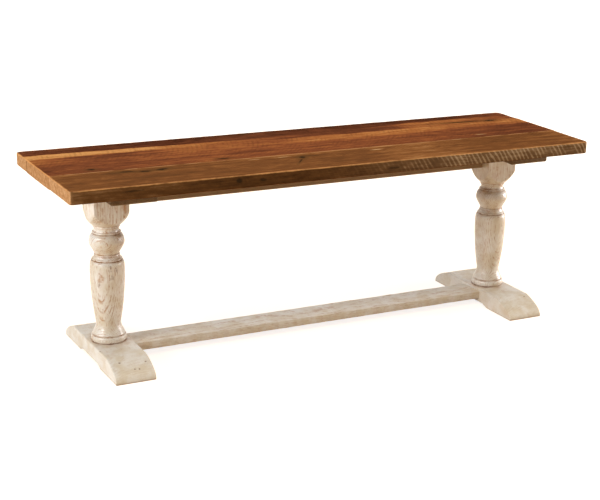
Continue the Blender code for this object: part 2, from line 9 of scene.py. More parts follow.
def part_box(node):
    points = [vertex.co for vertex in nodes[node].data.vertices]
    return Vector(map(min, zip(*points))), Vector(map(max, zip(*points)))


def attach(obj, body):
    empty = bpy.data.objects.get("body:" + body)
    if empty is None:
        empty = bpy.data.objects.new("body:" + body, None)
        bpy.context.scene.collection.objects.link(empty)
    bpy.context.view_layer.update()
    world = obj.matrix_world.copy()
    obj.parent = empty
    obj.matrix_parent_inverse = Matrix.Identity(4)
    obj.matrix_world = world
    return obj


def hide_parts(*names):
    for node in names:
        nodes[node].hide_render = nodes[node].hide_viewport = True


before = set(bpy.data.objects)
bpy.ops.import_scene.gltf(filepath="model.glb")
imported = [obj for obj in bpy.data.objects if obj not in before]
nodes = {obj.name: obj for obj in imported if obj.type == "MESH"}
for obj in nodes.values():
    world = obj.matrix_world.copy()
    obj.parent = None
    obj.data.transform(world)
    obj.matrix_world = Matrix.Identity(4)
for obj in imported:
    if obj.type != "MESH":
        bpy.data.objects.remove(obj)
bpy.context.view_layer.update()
print("frame loaded:", len(nodes), "nodes")

seatLow = Vector(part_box("seat_plank_front")[0])
seatHigh = Vector(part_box("seat_plank_back")[1])
seatTop = seatHigh.z
halfBlock = 0.0415
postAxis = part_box("post_right")[0].x + halfBlock
postX = {"left": -postAxis, "right": postAxis}


# Small helpers for node trees

class Field:
    # A value in a node tree: plain sums of fields and numbers build the math nodes
    def __init__(self, socket):
        self.socket = socket
        self.tree = socket.id_data

    def __add__(self, other):
        return calc("ADD", self, other)

    def __sub__(self, other):
        return calc("SUBTRACT", self, other)

    def __rsub__(self, other):
        return calc("SUBTRACT", other, self)

    def __mul__(self, other):
        return calc("MULTIPLY", self, other)

    def __truediv__(self, other):
        return calc("DIVIDE", self, other)

    __radd__ = __add__
    __rmul__ = __mul__


def treeOf(values):
    return next(value.tree for value in values if isinstance(value, Field))


def fields(sockets):
    return {socket.name: Field(socket) for socket in sockets}


def connect(value, socket):
    # A field is linked, each item of a list too, and a plain value is set
    if isinstance(value, list):
        for item in value:
            connect(item, socket)
    elif isinstance(value, Field):
        value.tree.links.new(value.socket, socket)
    elif socket.type == "RGBA" and len(value) == 3:
        socket.default_value = (*value, 1.0)
    else:
        socket.default_value = value


def addNode(tree, kind, inputs=None, **settings):
    node = tree.nodes.new(kind)
    for key, value in settings.items():
        setattr(node, key, value)
    for key, value in (inputs or {}).items():
        connect(value, node.inputs[key])
    return node


def put(tree, kind, inputs=None, out=0, **settings):
    return Field(addNode(tree, kind, inputs, **settings).outputs[out])


def calc(operation, a, b=0.0, clamp=False):
    return put(treeOf((a, b)), "ShaderNodeMath", {0: a, 1: b}, operation=operation, use_clamp=clamp)


def larger(a, b):
    return calc("MAXIMUM", a, b)


def vectorMath(operation, a, b=(0, 0, 0), out=0):
    return put(a.tree, "ShaderNodeVectorMath", {0: a, 1: b}, out, operation=operation)


def scaled(vector, factors):
    return vectorMath("MULTIPLY", vector, factors)


def lengthOf(vector):
    return vectorMath("LENGTH", vector, out="Value")


def split(vector):
    return [Field(socket)
            for socket in addNode(vector.tree, "ShaderNodeSeparateXYZ", {0: vector}).outputs]


def joined(*parts):
    return put(treeOf(parts), "ShaderNodeCombineXYZ", dict(enumerate(parts)))


def grainAlong(position, order):
    # The grain runs along Z of the result; order gives the axes across, deep and along it
    parts = split(position)
    return joined(*(parts[axis] for axis in order))


def facing(tree):
    # How squarely the surface faces X, Y and Z
    return split(vectorMath("ABSOLUTE", put(tree, "ShaderNodeNewGeometry", out="Normal")))


def softStep(value, start, end):
    # 0 at start and 1 at end, eased between them
    return put(value.tree, "ShaderNodeMapRange", {
        "Value": value, "From Min": start, "From Max": end}, "Result",
        interpolation_type="SMOOTHSTEP")


def noiseAt(vector, size, detail=3.0, roughness=0.6):
    # Size is one scale, or a stretch for each of the three axes
    if isinstance(size, tuple):
        vector, size = scaled(vector, size), 1.0
    return put(vector.tree, "ShaderNodeTexNoise", {
        "Vector": vector, "Scale": size, "Detail": detail, "Roughness": roughness}, "Fac")


def mixTones(factor, a, b):
    return put(treeOf((factor, a, b)), "ShaderNodeMix", {"Factor": factor, 6: a, 7: b}, 2,
               data_type="RGBA")


def toneRamp(value, stops):
    node = addNode(value.tree, "ShaderNodeValToRGB", {"Fac": value})
    ramp = node.color_ramp
    while len(ramp.elements) < len(stops):
        ramp.elements.new(0.5)
    for element, (place, colour) in zip(ramp.elements, stops):
        element.position = place
        element.color = (*colour, 1.0)
    return Field(node.outputs["Color"])


def lineThrough(value, points):
    # A smooth line through points (input, output), both in real units
    start, end = points[0][0], points[-1][0]
    outputs = [point[1] for point in points]
    low, high = min(outputs), max(outputs)
    span = max(high - low, 0.0001)
    tree = value.tree
    place = put(tree, "ShaderNodeMapRange", {"Value": value, "From Min": start, "From Max": end},
                "Result")
    node = addNode(tree, "ShaderNodeFloatCurve", {"Value": place})
    curve = node.mapping.curves[0]
    while len(curve.points) < len(points):
        curve.points.new(0.5, 0.5)
    for point, (x, y) in zip(curve.points, points):
        point.location = ((x - start) / (end - start), (y - low) / span)
    node.mapping.update()
    return put(tree, "ShaderNodeMapRange", {
        "Value": Field(node.outputs[0]), "To Min": low, "To Max": high}, "Result")


def newGroup(name, inputs, outputs):
    # Inputs come with their start values, where None stands for a vector
    group = bpy.data.node_groups.new(name, "ShaderNodeTree")
    for key, value in inputs.items():
        kind = "NodeSocketVector" if value is None else "NodeSocketFloat"
        socket = group.interface.new_socket(key, in_out="INPUT", socket_type=kind)
        if value is not None:
            socket.default_value = value
    for key in outputs:
        kind = "NodeSocketColor" if key == "Color" else "NodeSocketFloat"
        group.interface.new_socket(key, in_out="OUTPUT", socket_type=kind)
    return (group, fields(group.nodes.new("NodeGroupInput").outputs),
            group.nodes.new("NodeGroupOutput").inputs)


def useGroup(group, inputs):
    node = treeOf(inputs.values()).nodes.new("ShaderNodeGroup")
    node.node_tree = group
    for key, value in inputs.items():
        connect(value, node.inputs[key])
    return fields(node.outputs)


def newMaterial(name):
    material = bpy.data.materials.new(name)
    material.use_nodes = True
    tree = material.node_tree
    return (material, tree.nodes["Principled BSDF"].inputs,
            put(tree, "ShaderNodeTexCoord", out="Object"))


def setSurface(shader, colour, roughness, height, bump, specular=0.5):
    # Bump holds its strength and its distance
    connect(colour, shader["Base Color"])
    connect(roughness, shader["Roughness"])
    shader["Specular IOR Level"].default_value = specular
    relief = {"Strength": bump[0], "Distance": bump[1], "Height": height}
    connect(put(height.tree, "ShaderNodeBump", relief, "Normal"), shader["Normal"])


def rgb(*channels):
    # An 8-bit colour as linear light
    shares = [channel / 255 for channel in channels]
    return tuple(share / 12.92 if share <= 0.04045 else ((share + 0.055) / 1.055) ** 2.4
                 for share in shares)


def newShapeTree(name, inputs):
    # A geometry tree whose inputs come with their start values, where None stands for a material
    tree = bpy.data.node_groups.new(name, "GeometryNodeTree")
    tree.is_modifier = True
    kinds = {int: "NodeSocketInt", float: "NodeSocketFloat", type(None): "NodeSocketMaterial"}
    tree.interface.new_socket("Geometry", in_out="INPUT", socket_type="NodeSocketGeometry")
    for key, value in inputs.items():
        socket = tree.interface.new_socket(key, in_out="INPUT", socket_type=kinds[type(value)])
        if value is not None:
            socket.default_value = value
    tree.interface.new_socket("Geometry", in_out="OUTPUT", socket_type="NodeSocketGeometry")

    def add(kind, inputs=None, **settings):
        return put(tree, "GeometryNode" + kind, inputs, **settings)

    def close(shape, material):
        real = add("RealizeInstances", {"Geometry": shape})
        finished = add("SetMaterial", {"Geometry": real, "Material": material})
        connect(finished, tree.nodes.new("NodeGroupOutput").inputs["Geometry"])

    return tree, fields(tree.nodes.new("NodeGroupInput").outputs), add, close


def runTree(tree, source, name, values):
    # Sets a tree's inputs by identifier, then turns what it makes into a plain piece
    modifier = source.modifiers.new(tree.name, "NODES")
    modifier.node_group = tree
    for item in tree.interface.items_tree:
        if item.item_type == "SOCKET" and item.in_out == "INPUT" and item.name in values:
            modifier[item.identifier] = values[item.name]
    return bakeDown(source, name)


# Small helpers for meshes

def newPiece(name, mesh):
    piece = bpy.data.objects.new(name, mesh)
    bpy.context.scene.collection.objects.link(piece)
    return piece


def smoothOver(mesh, angle):
    mesh.shade_smooth()
    mesh.set_sharp_from_angle(angle=math.radians(angle))


def bakeDown(source, name):
    # The evaluated shape as a plain piece at the origin; the source goes
    depsgraph = bpy.context.evaluated_depsgraph_get()
    mesh = bpy.data.meshes.new_from_object(source.evaluated_get(depsgraph), depsgraph=depsgraph)
    mesh.transform(source.matrix_world)
    bpy.data.objects.remove(source, do_unlink=True)
    mesh.name = name
    return newPiece(name, mesh)


def coat(piece, material):
    piece.data.materials.clear()
    piece.data.materials.append(material)


def dress(piece, material, replaced):
    coat(piece, material)
    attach(piece, "root")
    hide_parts(*replaced)


def boxShape(low, high):
    shape = bmesh.new()
    bmesh.ops.create_cube(shape, size=1.0)
    bmesh.ops.scale(shape, vec=high - low, verts=shape.verts)
    bmesh.ops.translate(shape, vec=(high + low) / 2, verts=shape.verts)
    return shape


def meshFrom(shape, name):
    mesh = bpy.data.meshes.new(name)
    shape.to_mesh(mesh)
    shape.free()
    return mesh


def ease(shape, edges, radius, segments, clamp=False):
    bmesh.ops.bevel(shape, geom=edges, offset=radius, segments=segments, profile=0.5,
                    affect="EDGES", clamp_overlap=clamp)


def sliceAcross(shape, axis, low, high, step):
    # Extra edge loops square to one axis, so that wear can move the surface
    count = max(2, round((high - low) / step))
    normal = Vector((0, 0, 0))
    normal[axis] = 1
    for i in range(1, count):
        middle = Vector((0, 0, 0))
        middle[axis] = low + (high - low) * i / count
        geometry = shape.verts[:] + shape.edges[:] + shape.faces[:]
        bmesh.ops.bisect_plane(shape, geom=geometry, plane_co=middle, plane_no=normal, dist=0.00001)


def depthIn(point, low, high):
    # How far a point lies inside a box along each axis
    middle, half = (low + high) / 2, (high - low) / 2
    return [half[i] - abs(point[i] - middle[i]) for i in range(3)]


# Shader groups that several finishes share. A pair is where a soft step starts and ends,
# and three numbers stretch a noise along X, Y and Z.

ring = {"sway": (7.0, 7.0, 5.0), "waver": (120.0, 120.0, 9.0), "waverDepth": 0.0011,
        "lateRise": (0.55, 0.86), "lateFall": (1.0, 0.93), "earlyRise": (0.0, 0.06),
        "earlyFall": (0.45, 0.2), "pore": (1500.0, 1500.0, 75.0), "poreStep": (0.52, 0.66),
        "poreInEarly": 0.85, "poreInLate": 0.15}


def makeGrowthRings():
    # Solid wood cut from a log
    group, given, made = newGroup("growthRings", {
        "Vector": None, "Pith Across": 0.05, "Pith Deep": 0.05, "Lean": 0.0, "Spacing": 0.0026,
        "Wander": 0.004, "Pore Size": 1.0}, ("Latewood", "Pores"))
    vector = given["Vector"]
    x, y, z = split(vector)
    across = x - given["Pith Across"] + z * given["Lean"]
    deep = y - given["Pith Deep"]
    sway = (noiseAt(vector, ring["sway"], 2.0, 0.5) - 0.5) * given["Wander"]
    waver = noiseAt(vector, ring["waver"], 2.0) * ring["waverDepth"]
    distance = calc("SQRT", across * across + deep * deep) + sway + waver
    phase = calc("FRACT", distance / given["Spacing"])
    connect(softStep(phase, *ring["lateRise"]) * softStep(phase, *ring["lateFall"]),
            made["Latewood"])
    early = softStep(phase, *ring["earlyFall"]) * softStep(phase, *ring["earlyRise"])
    poreVector = put(group, "ShaderNodeVectorMath", {
        0: scaled(vector, ring["pore"]), "Scale": given["Pore Size"]}, operation="SCALE")
    specks = softStep(noiseAt(poreVector, 1.0, 1.0, 0.5), *ring["poreStep"])
    connect(specks * (early * ring["poreInEarly"] + ring["poreInLate"]), made["Pores"])
    return group


# Streaks along the grain as (stretch, detail, roughness)
streakKinds = {
    "Fine": ((420.0, 420.0, 9.0), 4.0, 0.6), "Broad": ((75.0, 75.0, 2.6), 3.0, 0.55),
    "Blotch": ((22.0, 22.0, 9.0), 3.0, 0.6), "Fleck": ((105.0, 105.0, 30.0), 4.0, 0.65)}


def makeFibre():
    group, given, made = newGroup("fibre", {"Vector": None, "Offset": 0.0}, streakKinds)
    vector = vectorMath("ADD", given["Vector"],
                        joined(given["Offset"], given["Offset"], given["Offset"]))
    for name, (stretch, detail, roughness) in streakKinds.items():
        connect(noiseAt(vector, stretch, detail, roughness), made[name])
    return group


def makeEdgeWear():
    # 1 along the edges of a box, 0 away from them, broken up by noise
    group, given, made = newGroup("edgeWear", {
        "Vector": None, "Middle": None, "Half Size": None, "Width": 0.003, "Raggedness": 0.5},
        ("Worn",))
    offset = vectorMath("ABSOLUTE", vectorMath("SUBTRACT", given["Vector"], given["Middle"]))
    x, y, z = split(vectorMath("SUBTRACT", given["Half Size"], offset))
    near = x + y + z - larger(larger(x, y), z)
    ragged = (noiseAt(given["Vector"], 85.0) - 0.5) * given["Raggedness"]
    near = near - ragged * given["Width"]
    connect(softStep(near / given["Width"], 1.0, 0.35), made["Worn"])
    return group


sawCut = {"jitter": (30.0, 3.0, 3.0), "jitterDepth": 0.014, "patchScale": 26.0, "patchEdge": 0.22,
          "ridge": (-0.2, 0.9)}


def makeSawMarks():
    # Arcs left by a circular saw: X of the vector runs along the board and Y across it
    group, given, made = newGroup("sawMarks", {
        "Vector": None, "Saw Radius": 0.30, "Pitch": 0.0045, "Slant": 0.3, "Bare Share": 0.40},
        ("Marks",))
    vector, bare = given["Vector"], given["Bare Share"]
    x, y, z = split(vector)
    run = x + y * y / given["Saw Radius"] + y * given["Slant"]
    run = run + noiseAt(vector, sawCut["jitter"], 2.0) * sawCut["jitterDepth"]
    wave = calc("SINE", run / given["Pitch"] * (2 * math.pi))
    patchy = softStep(noiseAt(vector, sawCut["patchScale"]), bare, bare + sawCut["patchEdge"])
    connect(softStep(wave, *sawCut["ridge"]) * patchy, made["Marks"])
    return group


knotForm = {"grit": (160.0, 260.0, 60.0), "gritDepth": 1.1, "core": (1.05, 0.35),
            "halo": (2.6, 0.7)}


def makeKnot():
    # A knot or a check in a board: a dark core and the ring of disturbed grain round it
    group, given, made = newGroup("knot", {
        "Vector": None, "Place": None, "Length": 0.01, "Width": 0.006, "Turn": 0.0},
        ("Core", "Halo"))
    offset = vectorMath("SUBTRACT", given["Vector"], given["Place"])
    x, y, z = split(put(group, "ShaderNodeVectorRotate", {"Vector": offset, "Angle": given["Turn"]},
                        rotation_type="Z_AXIS"))
    across, up = x / given["Length"], y / given["Width"]
    ragged = (noiseAt(given["Vector"], knotForm["grit"]) - 0.5) * knotForm["gritDepth"]
    radius = calc("SQRT", across * across + up * up) + ragged
    connect(softStep(radius, *knotForm["core"]), made["Core"])
    connect(softStep(radius, *knotForm["halo"]), made["Halo"])
    return group


growthRings = makeGrowthRings()
fibre = makeFibre()
edgeWear = makeEdgeWear()
sawMarks = makeSawMarks()
knotGroup = makeKnot()
print("shared shader groups made")


def streaked(streaks, gains):
    # Streaks lighten and darken a tone evenly about its middle
    return sum((streaks[name] - 0.5) * gain for name, gain in gains.items())


def wornAt(position, low, high, width, raggedness):
    return useGroup(edgeWear, {
        "Vector": position, "Middle": (low + high) / 2, "Half Size": (high - low) / 2,
        "Width": width, "Raggedness": raggedness})["Worn"]


def knotAt(vector, place, length, width, turn):
    return useGroup(knotGroup, {
        "Vector": vector, "Place": place, "Length": length, "Width": width, "Turn": turn})


# Seat: its figure runs over all three planks

seat = {
    "easing": 0.0032, "cornerRadius": 0.012, "backRightRadius": 0.020,
    "wear": 0.0009, "wearReach": 2.2, "grit": (38, 110), "wornWidth": 0.02,
    "wave": 0.00025, "waveAlong": 9, "waveAcross": 30,
    "loopStep": 0.012, "loopMargin": 0.02, "crossStep": 0.014, "crossMargin": 0.013,
    "offset": {"back": 3.1, "middle": 7.7, "front": 12.9},
    "tones": ((0.0, rgb(75, 40, 26)), (0.28, rgb(111, 63, 41)), (0.5, rgb(143, 82, 49)),
              (0.74, rgb(174, 109, 60)), (1.0, rgb(214, 154, 94))),
    "frontTones": ((0.0, rgb(80, 55, 33)), (0.4, rgb(123, 77, 44)), (0.62, rgb(148, 97, 56)),
                   (1.0, rgb(194, 146, 98))),
    "endTones": ((0.0, rgb(150, 96, 56)), (0.5, rgb(200, 148, 100)), (1.0, rgb(232, 188, 144))),
    "endTone": {"back": 0.56, "middle": 0.48, "front": 0.56},
    "edgeTones": ((0.0, rgb(64, 40, 22)), (0.45, rgb(108, 72, 40)), (0.75, rgb(146, 108, 72)),
                  (1.0, rgb(188, 150, 110))),
    "greyEdgeTones": ((0.0, rgb(68, 48, 32)), (0.45, rgb(122, 92, 64)), (0.75, rgb(172, 142, 110)),
                      (1.0, rgb(206, 180, 148))),
    # The arris colour stands for rubbed wear and for a painted highlight on the top arrises
    "arris": rgb(222, 158, 98), "seamLine": rgb(186, 134, 88), "sawTone": rgb(62, 42, 26),
    "knotTone": rgb(40, 32, 22), "haloTone": rgb(88, 66, 38), "scarTone": rgb(206, 164, 116),
    # Lines across the top as (x, y), where one stretch of colour gives way to the next
    "darkEnd": ((-0.67, 0.143), (-0.45, 0.141), (-0.30, 0.137), (-0.15, 0.131), (0.0, 0.134),
                (0.12, 0.140), (0.25, 0.150), (0.34, 0.160), (0.50, 0.162), (0.67, 0.150)),
    "redEnd": ((-0.67, 0.104), (-0.45, 0.103), (-0.32, 0.101), (-0.10, 0.103), (0.28, 0.101),
               (0.40, 0.108), (0.50, 0.118), (0.67, 0.120)),
    "orangeEnd": ((-0.67, 0.056), (-0.50, 0.054), (-0.32, 0.048), (-0.10, 0.046), (0.10, 0.049),
                  (0.30, 0.050), (0.45, 0.058), (0.67, 0.060)),
    # Lightness of each stretch along the seat as (x, tone)
    "backTone": ((-0.67, 0.34), (-0.58, 0.30), (-0.45, 0.20), (-0.30, 0.17), (-0.10, 0.24),
                 (0.0, 0.22), (0.15, 0.19), (0.30, 0.21), (0.45, 0.17), (0.60, 0.38), (0.67, 0.40)),
    "sapTone": ((-0.67, 0.98), (-0.42, 0.94), (-0.32, 0.80), (-0.22, 0.66), (-0.10, 0.62),
                (0.0, 0.46), (0.20, 0.35), (0.30, 0.48), (0.40, 0.73), (0.55, 0.54), (0.67, 0.36)),
    "middleTone": ((-0.67, 0.68), (-0.60, 0.56), (-0.45, 0.42), (-0.34, 0.58), (-0.22, 0.68),
                   (-0.10, 0.65), (0.02, 0.74), (0.20, 0.75), (0.38, 0.73), (0.46, 0.70),
                   (0.67, 0.84)),
    "redTone": ((-0.67, 0.45), (-0.50, 0.44), (-0.40, 0.52), (-0.20, 0.49), (0.0, 0.46),
                (0.20, 0.47), (0.45, 0.45), (0.58, 0.33), (0.67, 0.42)),
    "frontTone": ((-0.67, 0.54), (-0.45, 0.41), (-0.20, 0.49), (0.05, 0.42), (0.20, 0.61),
                  (0.45, 0.39), (0.67, 0.66)),
    "edgeTone": ((-0.67, 0.52), (-0.45, 0.42), (-0.25, 0.28), (0.0, 0.34), (0.20, 0.40),
                 (0.40, 0.50), (0.67, 0.46)),
    "seamGlow": ((-0.67, 0.16), (-0.50, 0.10), (-0.30, 0.22), (-0.10, 0.34), (0.10, 0.36),
                 (0.22, 0.16), (0.40, 0.05), (0.67, 0.04)),
    # Stretches from front to back as (line where one starts, half its soft edge, its lightness)
    "stretches": (("orangeEnd", 0.011, "middleTone"), ("redEnd", 0.004, "sapTone"),
                  ("darkEnd", 0.004, "backTone")),
    # Grain: how strongly each kind of streak and each part of a ring shows
    "pith": (0.02, -0.11), "rings": {"Spacing": 0.0034, "Wander": 0.03, "Pore Size": 0.8},
    "topGrain": {"Fine": 0.50, "Broad": 0.55, "Blotch": 0.30, "Fleck": 0.70}, "topLate": -0.08,
    "topShift": -0.04,
    "edgeGrain": {"Fine": 0.60, "Blotch": 0.45, "Fleck": 0.80},
    "endGrain": {"Fleck": 1.4}, "endLate": -0.22, "endPores": -0.30,
    # Where the colours meet, saw marks, knots, the seam, the greyed edges and the rubbed arrises,
    # lightened partly as wear and partly as a painted highlight
    "wobble": (9.0, 40.0, 9.0), "wobbleDepth": 0.018, "glowEdge": (0.016, 0.002),
    "knotMargin": 0.03, "scarMargin": 0.01,
    "topMarks": {"Saw Radius": 0.42, "Pitch": 0.013, "Slant": -0.8}, "topMarkShade": 0.20,
    "haloShade": 0.45, "seamEdge": (0.006, 0.002), "seamBreaks": (26.0, 5.0, 5.0),
    "seamBare": (0.38, 0.58),
    "edgeMarks": {"Saw Radius": 0.25, "Pitch": 0.0125, "Slant": 0.80, "Bare Share": 0.30},
    "edgeMarkShade": 0.27,
    "greying": (-0.15, 0.35), "greyCalm": 0.20, "greyShift": -0.05,
    "jointEdge": (0.0034, 0.0010), "jointShade": 0.75, "edgeFacing": (0.55, 0.85),
    "endFacing": (0.55, 0.80), "arrisWidth": 0.0044, "arrisRaggedness": 0.45,
    "arrisDepth": (0.008, 0.004), "arrisWearAndHighlight": 0.9, "roughness": 0.46, "specular": 0.0,
    "bump": (0.5, 0.0006),
    "relief": {"fibre": 0.5, "knots": -1.6, "pores": -0.5, "topMarks": 0.25, "edgeMarks": 1.2},
}
# Knots and checks as (x, y, length, width, turn, depth of colour)
seatKnots = (
    (-0.566, -0.032, 0.011, 0.008, 0.0, 0.85), (-0.255, -0.039, 0.020, 0.007, 0.1, 0.80),
    (-0.500, -0.080, 0.022, 0.007, 0.2, 0.80), (-0.420, -0.085, 0.018, 0.009, -0.2, 0.90),
    (-0.462, -0.090, 0.016, 0.008, 0.0, 0.80), (-0.103, 0.190, 0.010, 0.006, 0.0, 0.60),
    (-0.078, -0.096, 0.010, 0.015, 0.5, 0.80), (-0.097, -0.126, 0.003, 0.030, 0.62, 0.70),
    (0.580, 0.112, 0.024, 0.009, 0.0, 0.95), (0.500, 0.119, 0.070, 0.006, 0.06, 0.90))
# Marks on the front edge as (x, height from the top, length, width, turn, depth of colour)
edgeKnots = (
    (-0.530, -0.012, 0.030, 0.0030, 0.0, 0.60), (-0.285, -0.013, 0.010, 0.0080, 0.6, 0.75),
    (-0.228, -0.015, 0.012, 0.0050, 0.2, 0.65), (0.110, -0.018, 0.022, 0.0030, 0.0, 0.55))
# Pale scars in the same form as the knots
seatScars = (
    (0.125, -0.086, 0.022, 0.0045, 0.0, 0.85), (0.370, -0.060, 0.016, 0.0040, 0.1, 0.60),
    (0.460, -0.030, 0.020, 0.0050, 0.1, 0.55), (-0.190, -0.075, 0.020, 0.0030, 0.0, 0.60),
    (-0.120, -0.077, 0.026, 0.0030, 0.0, 0.65))


def reaching(rows, low, high, margin):
    # The knots or scars that reach into a plank
    return [row for row in rows if low.y - margin < row[1] < high.y + margin]


def plankMaterial(plank, low, high):
    material, shader, position = newMaterial("seat_plank_" + plank + "_wood")
    front = plank == "front"
    x, y, z = split(position)
    grain = grainAlong(position, (1, 2, 0))
    streaks = useGroup(fibre, {"Vector": grain, "Offset": seat["offset"][plank]})
    rings = useGroup(growthRings, {
        "Vector": grain, "Pith Across": (low.y + high.y) / 2 + seat["pith"][0],
        "Pith Deep": seatTop + seat["pith"][1], **seat["rings"]})
    # The lines between stretches of colour wobble
    place = y + (noiseAt(position, seat["wobble"], 4.0) - 0.5) * seat["wobbleDepth"]
    if front:
        glow = softStep(high.y - place, *seat["glowEdge"]) * lineThrough(x, seat["seamGlow"])
        tone = lineThrough(x, seat["frontTone"]) + glow
    else:
        tone = lineThrough(x, seat["redTone"])
        for line, softness, toneLine in seat["stretches"]:
            beyond = softStep(place - lineThrough(x, seat[line]), -softness, softness)
            tone = put(x.tree, "ShaderNodeMix", {
                "Factor": beyond, "A": tone, "B": lineThrough(x, seat[toneLine])}, "Result",
                data_type="FLOAT")
    tone = (tone + streaked(streaks, seat["topGrain"]) + rings["Latewood"] * seat["topLate"]
            + seat["topShift"])
    topTone = toneRamp(tone, seat["frontTones" if front else "tones"])

    # Faint saw marks that the planing left on the top, then knots, checks and scars
    marks = useGroup(sawMarks, {"Vector": position, **seat["topMarks"]})["Marks"]
    topTone = mixTones(marks * seat["topMarkShade"], topTone, seat["sawTone"])
    core, halo = 0.0, 0.0
    for knotX, knotY, *form, strength in reaching(seatKnots, low, high, seat["knotMargin"]):
        knot = knotAt(position, (knotX, knotY, 0), *form)
        core = larger(core, knot["Core"] * strength)
        halo = larger(halo, knot["Halo"] * strength)
    topTone = mixTones(halo * seat["haloShade"], topTone, seat["haloTone"])
    topTone = mixTones(core, topTone, seat["knotTone"])
    for scarX, scarY, *form, strength in reaching(seatScars, low, high, seat["scarMargin"]):
        scar = knotAt(position, (scarX, scarY, 0), *form)
        topTone = mixTones(scar["Core"] * strength, topTone, seat["scarTone"])
    if front:
        # The glued seam shows as a thin pale line
        line = softStep(high.y - y, *seat["seamEdge"])
        bare = softStep(noiseAt(position, seat["seamBreaks"]), *seat["seamBare"])
        topTone = mixTones(line * bare, topTone, seat["seamLine"])

    # Long edges: brown at the left, and greyer with clear saw marks towards the right
    edgeVector = joined(x, z - seatTop, y)
    edgeMarks = useGroup(sawMarks, {"Vector": edgeVector, **seat["edgeMarks"]})["Marks"]
    greying = softStep(x, *seat["greying"])
    edgeGrain = streaked(streaks, seat["edgeGrain"]) * (1.0 - greying * seat["greyCalm"])
    shade = lineThrough(x, seat["edgeTone"]) + edgeGrain
    shade = shade + edgeMarks * greying * seat["edgeMarkShade"] + greying * seat["greyShift"]
    edgeTone = mixTones(greying, toneRamp(shade, seat["edgeTones"]),
                        toneRamp(shade, seat["greyEdgeTones"]))
    for knotX, drop, *form, strength in edgeKnots if front else ():
        knot = knotAt(edgeVector, (knotX, drop, low.y), *form)
        edgeTone = mixTones(knot["Core"] * strength, edgeTone, seat["knotTone"])

    # End grain: rings seen square on
    cut = (rings["Latewood"] * seat["endLate"] + seat["endTone"][plank]
           + rings["Pores"] * seat["endPores"])
    endTone = toneRamp(cut + streaked(streaks, seat["endGrain"]), seat["endTones"])
    if not front:
        joint = softStep(calc("MINIMUM", y - low.y, high.y - y), *seat["jointEdge"])
        endTone = mixTones(joint * seat["jointShade"], endTone, seat["endTones"][0][1])

    alongX, alongY, alongZ = facing(x.tree)
    colour = mixTones(softStep(alongY, *seat["edgeFacing"]), topTone, edgeTone)
    colour = mixTones(softStep(alongX, *seat["endFacing"]), colour, endTone)
    # Top arrises painted lighter: partly rubbed wear, partly a painted highlight where the eased
    # edge catches the light
    worn = wornAt(position, seatLow, seatHigh, seat["arrisWidth"], seat["arrisRaggedness"])
    topOnly = softStep(z, *(seatTop - depth for depth in seat["arrisDepth"]))
    colour = mixTones(worn * topOnly * seat["arrisWearAndHighlight"], colour, seat["arris"])
    roughness = streaks["Broad"] * 0.16 + seat["roughness"] + core * 0.2
    relief = seat["relief"]
    height = (streaks["Fine"] * relief["fibre"] + core * relief["knots"]
              + rings["Pores"] * relief["pores"])
    height = height + marks * relief["topMarks"] + edgeMarks * alongY * relief["edgeMarks"]
    setSurface(shader, colour, roughness, height, seat["bump"], seat["specular"])
    return material


def makePlank(plank):
    node = "seat_plank_" + plank
    low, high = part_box(node)
    material = plankMaterial(plank, low, high)
    shape = boxShape(low, high)
    close = 0.0001

    def onSeam(vertex):
        return (plank != "back" and vertex.co.y > high.y - close) or (
            plank != "front" and vertex.co.y < low.y + close)

    corners = [edge for edge in shape.edges
               if abs(edge.verts[0].co.z - edge.verts[1].co.z) > close
               and not onSeam(edge.verts[0])]
    for corner in corners:
        worst = corner.verts[0].co.x > 0 and corner.verts[0].co.y > 0
        ease(shape, [corner], seat["backRightRadius"] if worst else seat["cornerRadius"], 8)
    rims = [edge for edge in shape.edges
            if abs(edge.verts[0].co.z - edge.verts[1].co.z) < close
            and not (onSeam(edge.verts[0]) and onSeam(edge.verts[1]))]
    ease(shape, rims, seat["easing"], 4)
    sliceAcross(shape, 0, low.x + seat["loopMargin"], high.x - seat["loopMargin"], seat["loopStep"])
    sliceAcross(shape, 1, low.y + seat["crossMargin"], high.y - seat["crossMargin"],
                seat["crossStep"])

    # Rubbing takes the edges down unevenly, and a plane leaves the top slightly wavy
    middle = (seatLow + seatHigh) / 2
    for vertex in shape.verts:
        depth = depthIn(vertex.co, seatLow, seatHigh)
        rub = max(0.0, 1.0 - (sum(depth) - max(depth)) / (seat["wearReach"] * seat["easing"]))
        grit = sum(noise.noise(vertex.co * scale) * 0.5 for scale in seat["grit"])
        amount = rub * seat["wear"] * (0.55 + 0.9 * grit)
        inward = middle - vertex.co
        inward = Vector((math.copysign(1, inward.x) if depth[0] < seat["wornWidth"] else 0,
                         math.copysign(1, inward.y) if depth[1] < seat["wornWidth"] else 0,
                         math.copysign(1, inward.z)))
        if amount > 0:
            vertex.co += inward * amount
        if vertex.co.z > seatTop - 0.001 and not onSeam(vertex):
            place = Vector((vertex.co.x * seat["waveAlong"], vertex.co.y * seat["waveAcross"],
                            seat["offset"][plank]))
            vertex.co.z -= seat["wave"] * (1 + noise.noise(place))
    bmesh.ops.recalc_face_normals(shape, faces=shape.faces)
    mesh = meshFrom(shape, node + "_worn")
    smoothOver(mesh, 40)
    dress(newPiece(node + "_worn", mesh), material, [node])


for plank in ("back", "middle", "front"):
    makePlank(plank)
print("seat planks made")


# Painted base: cream over oak, rubbed with a brown glaze

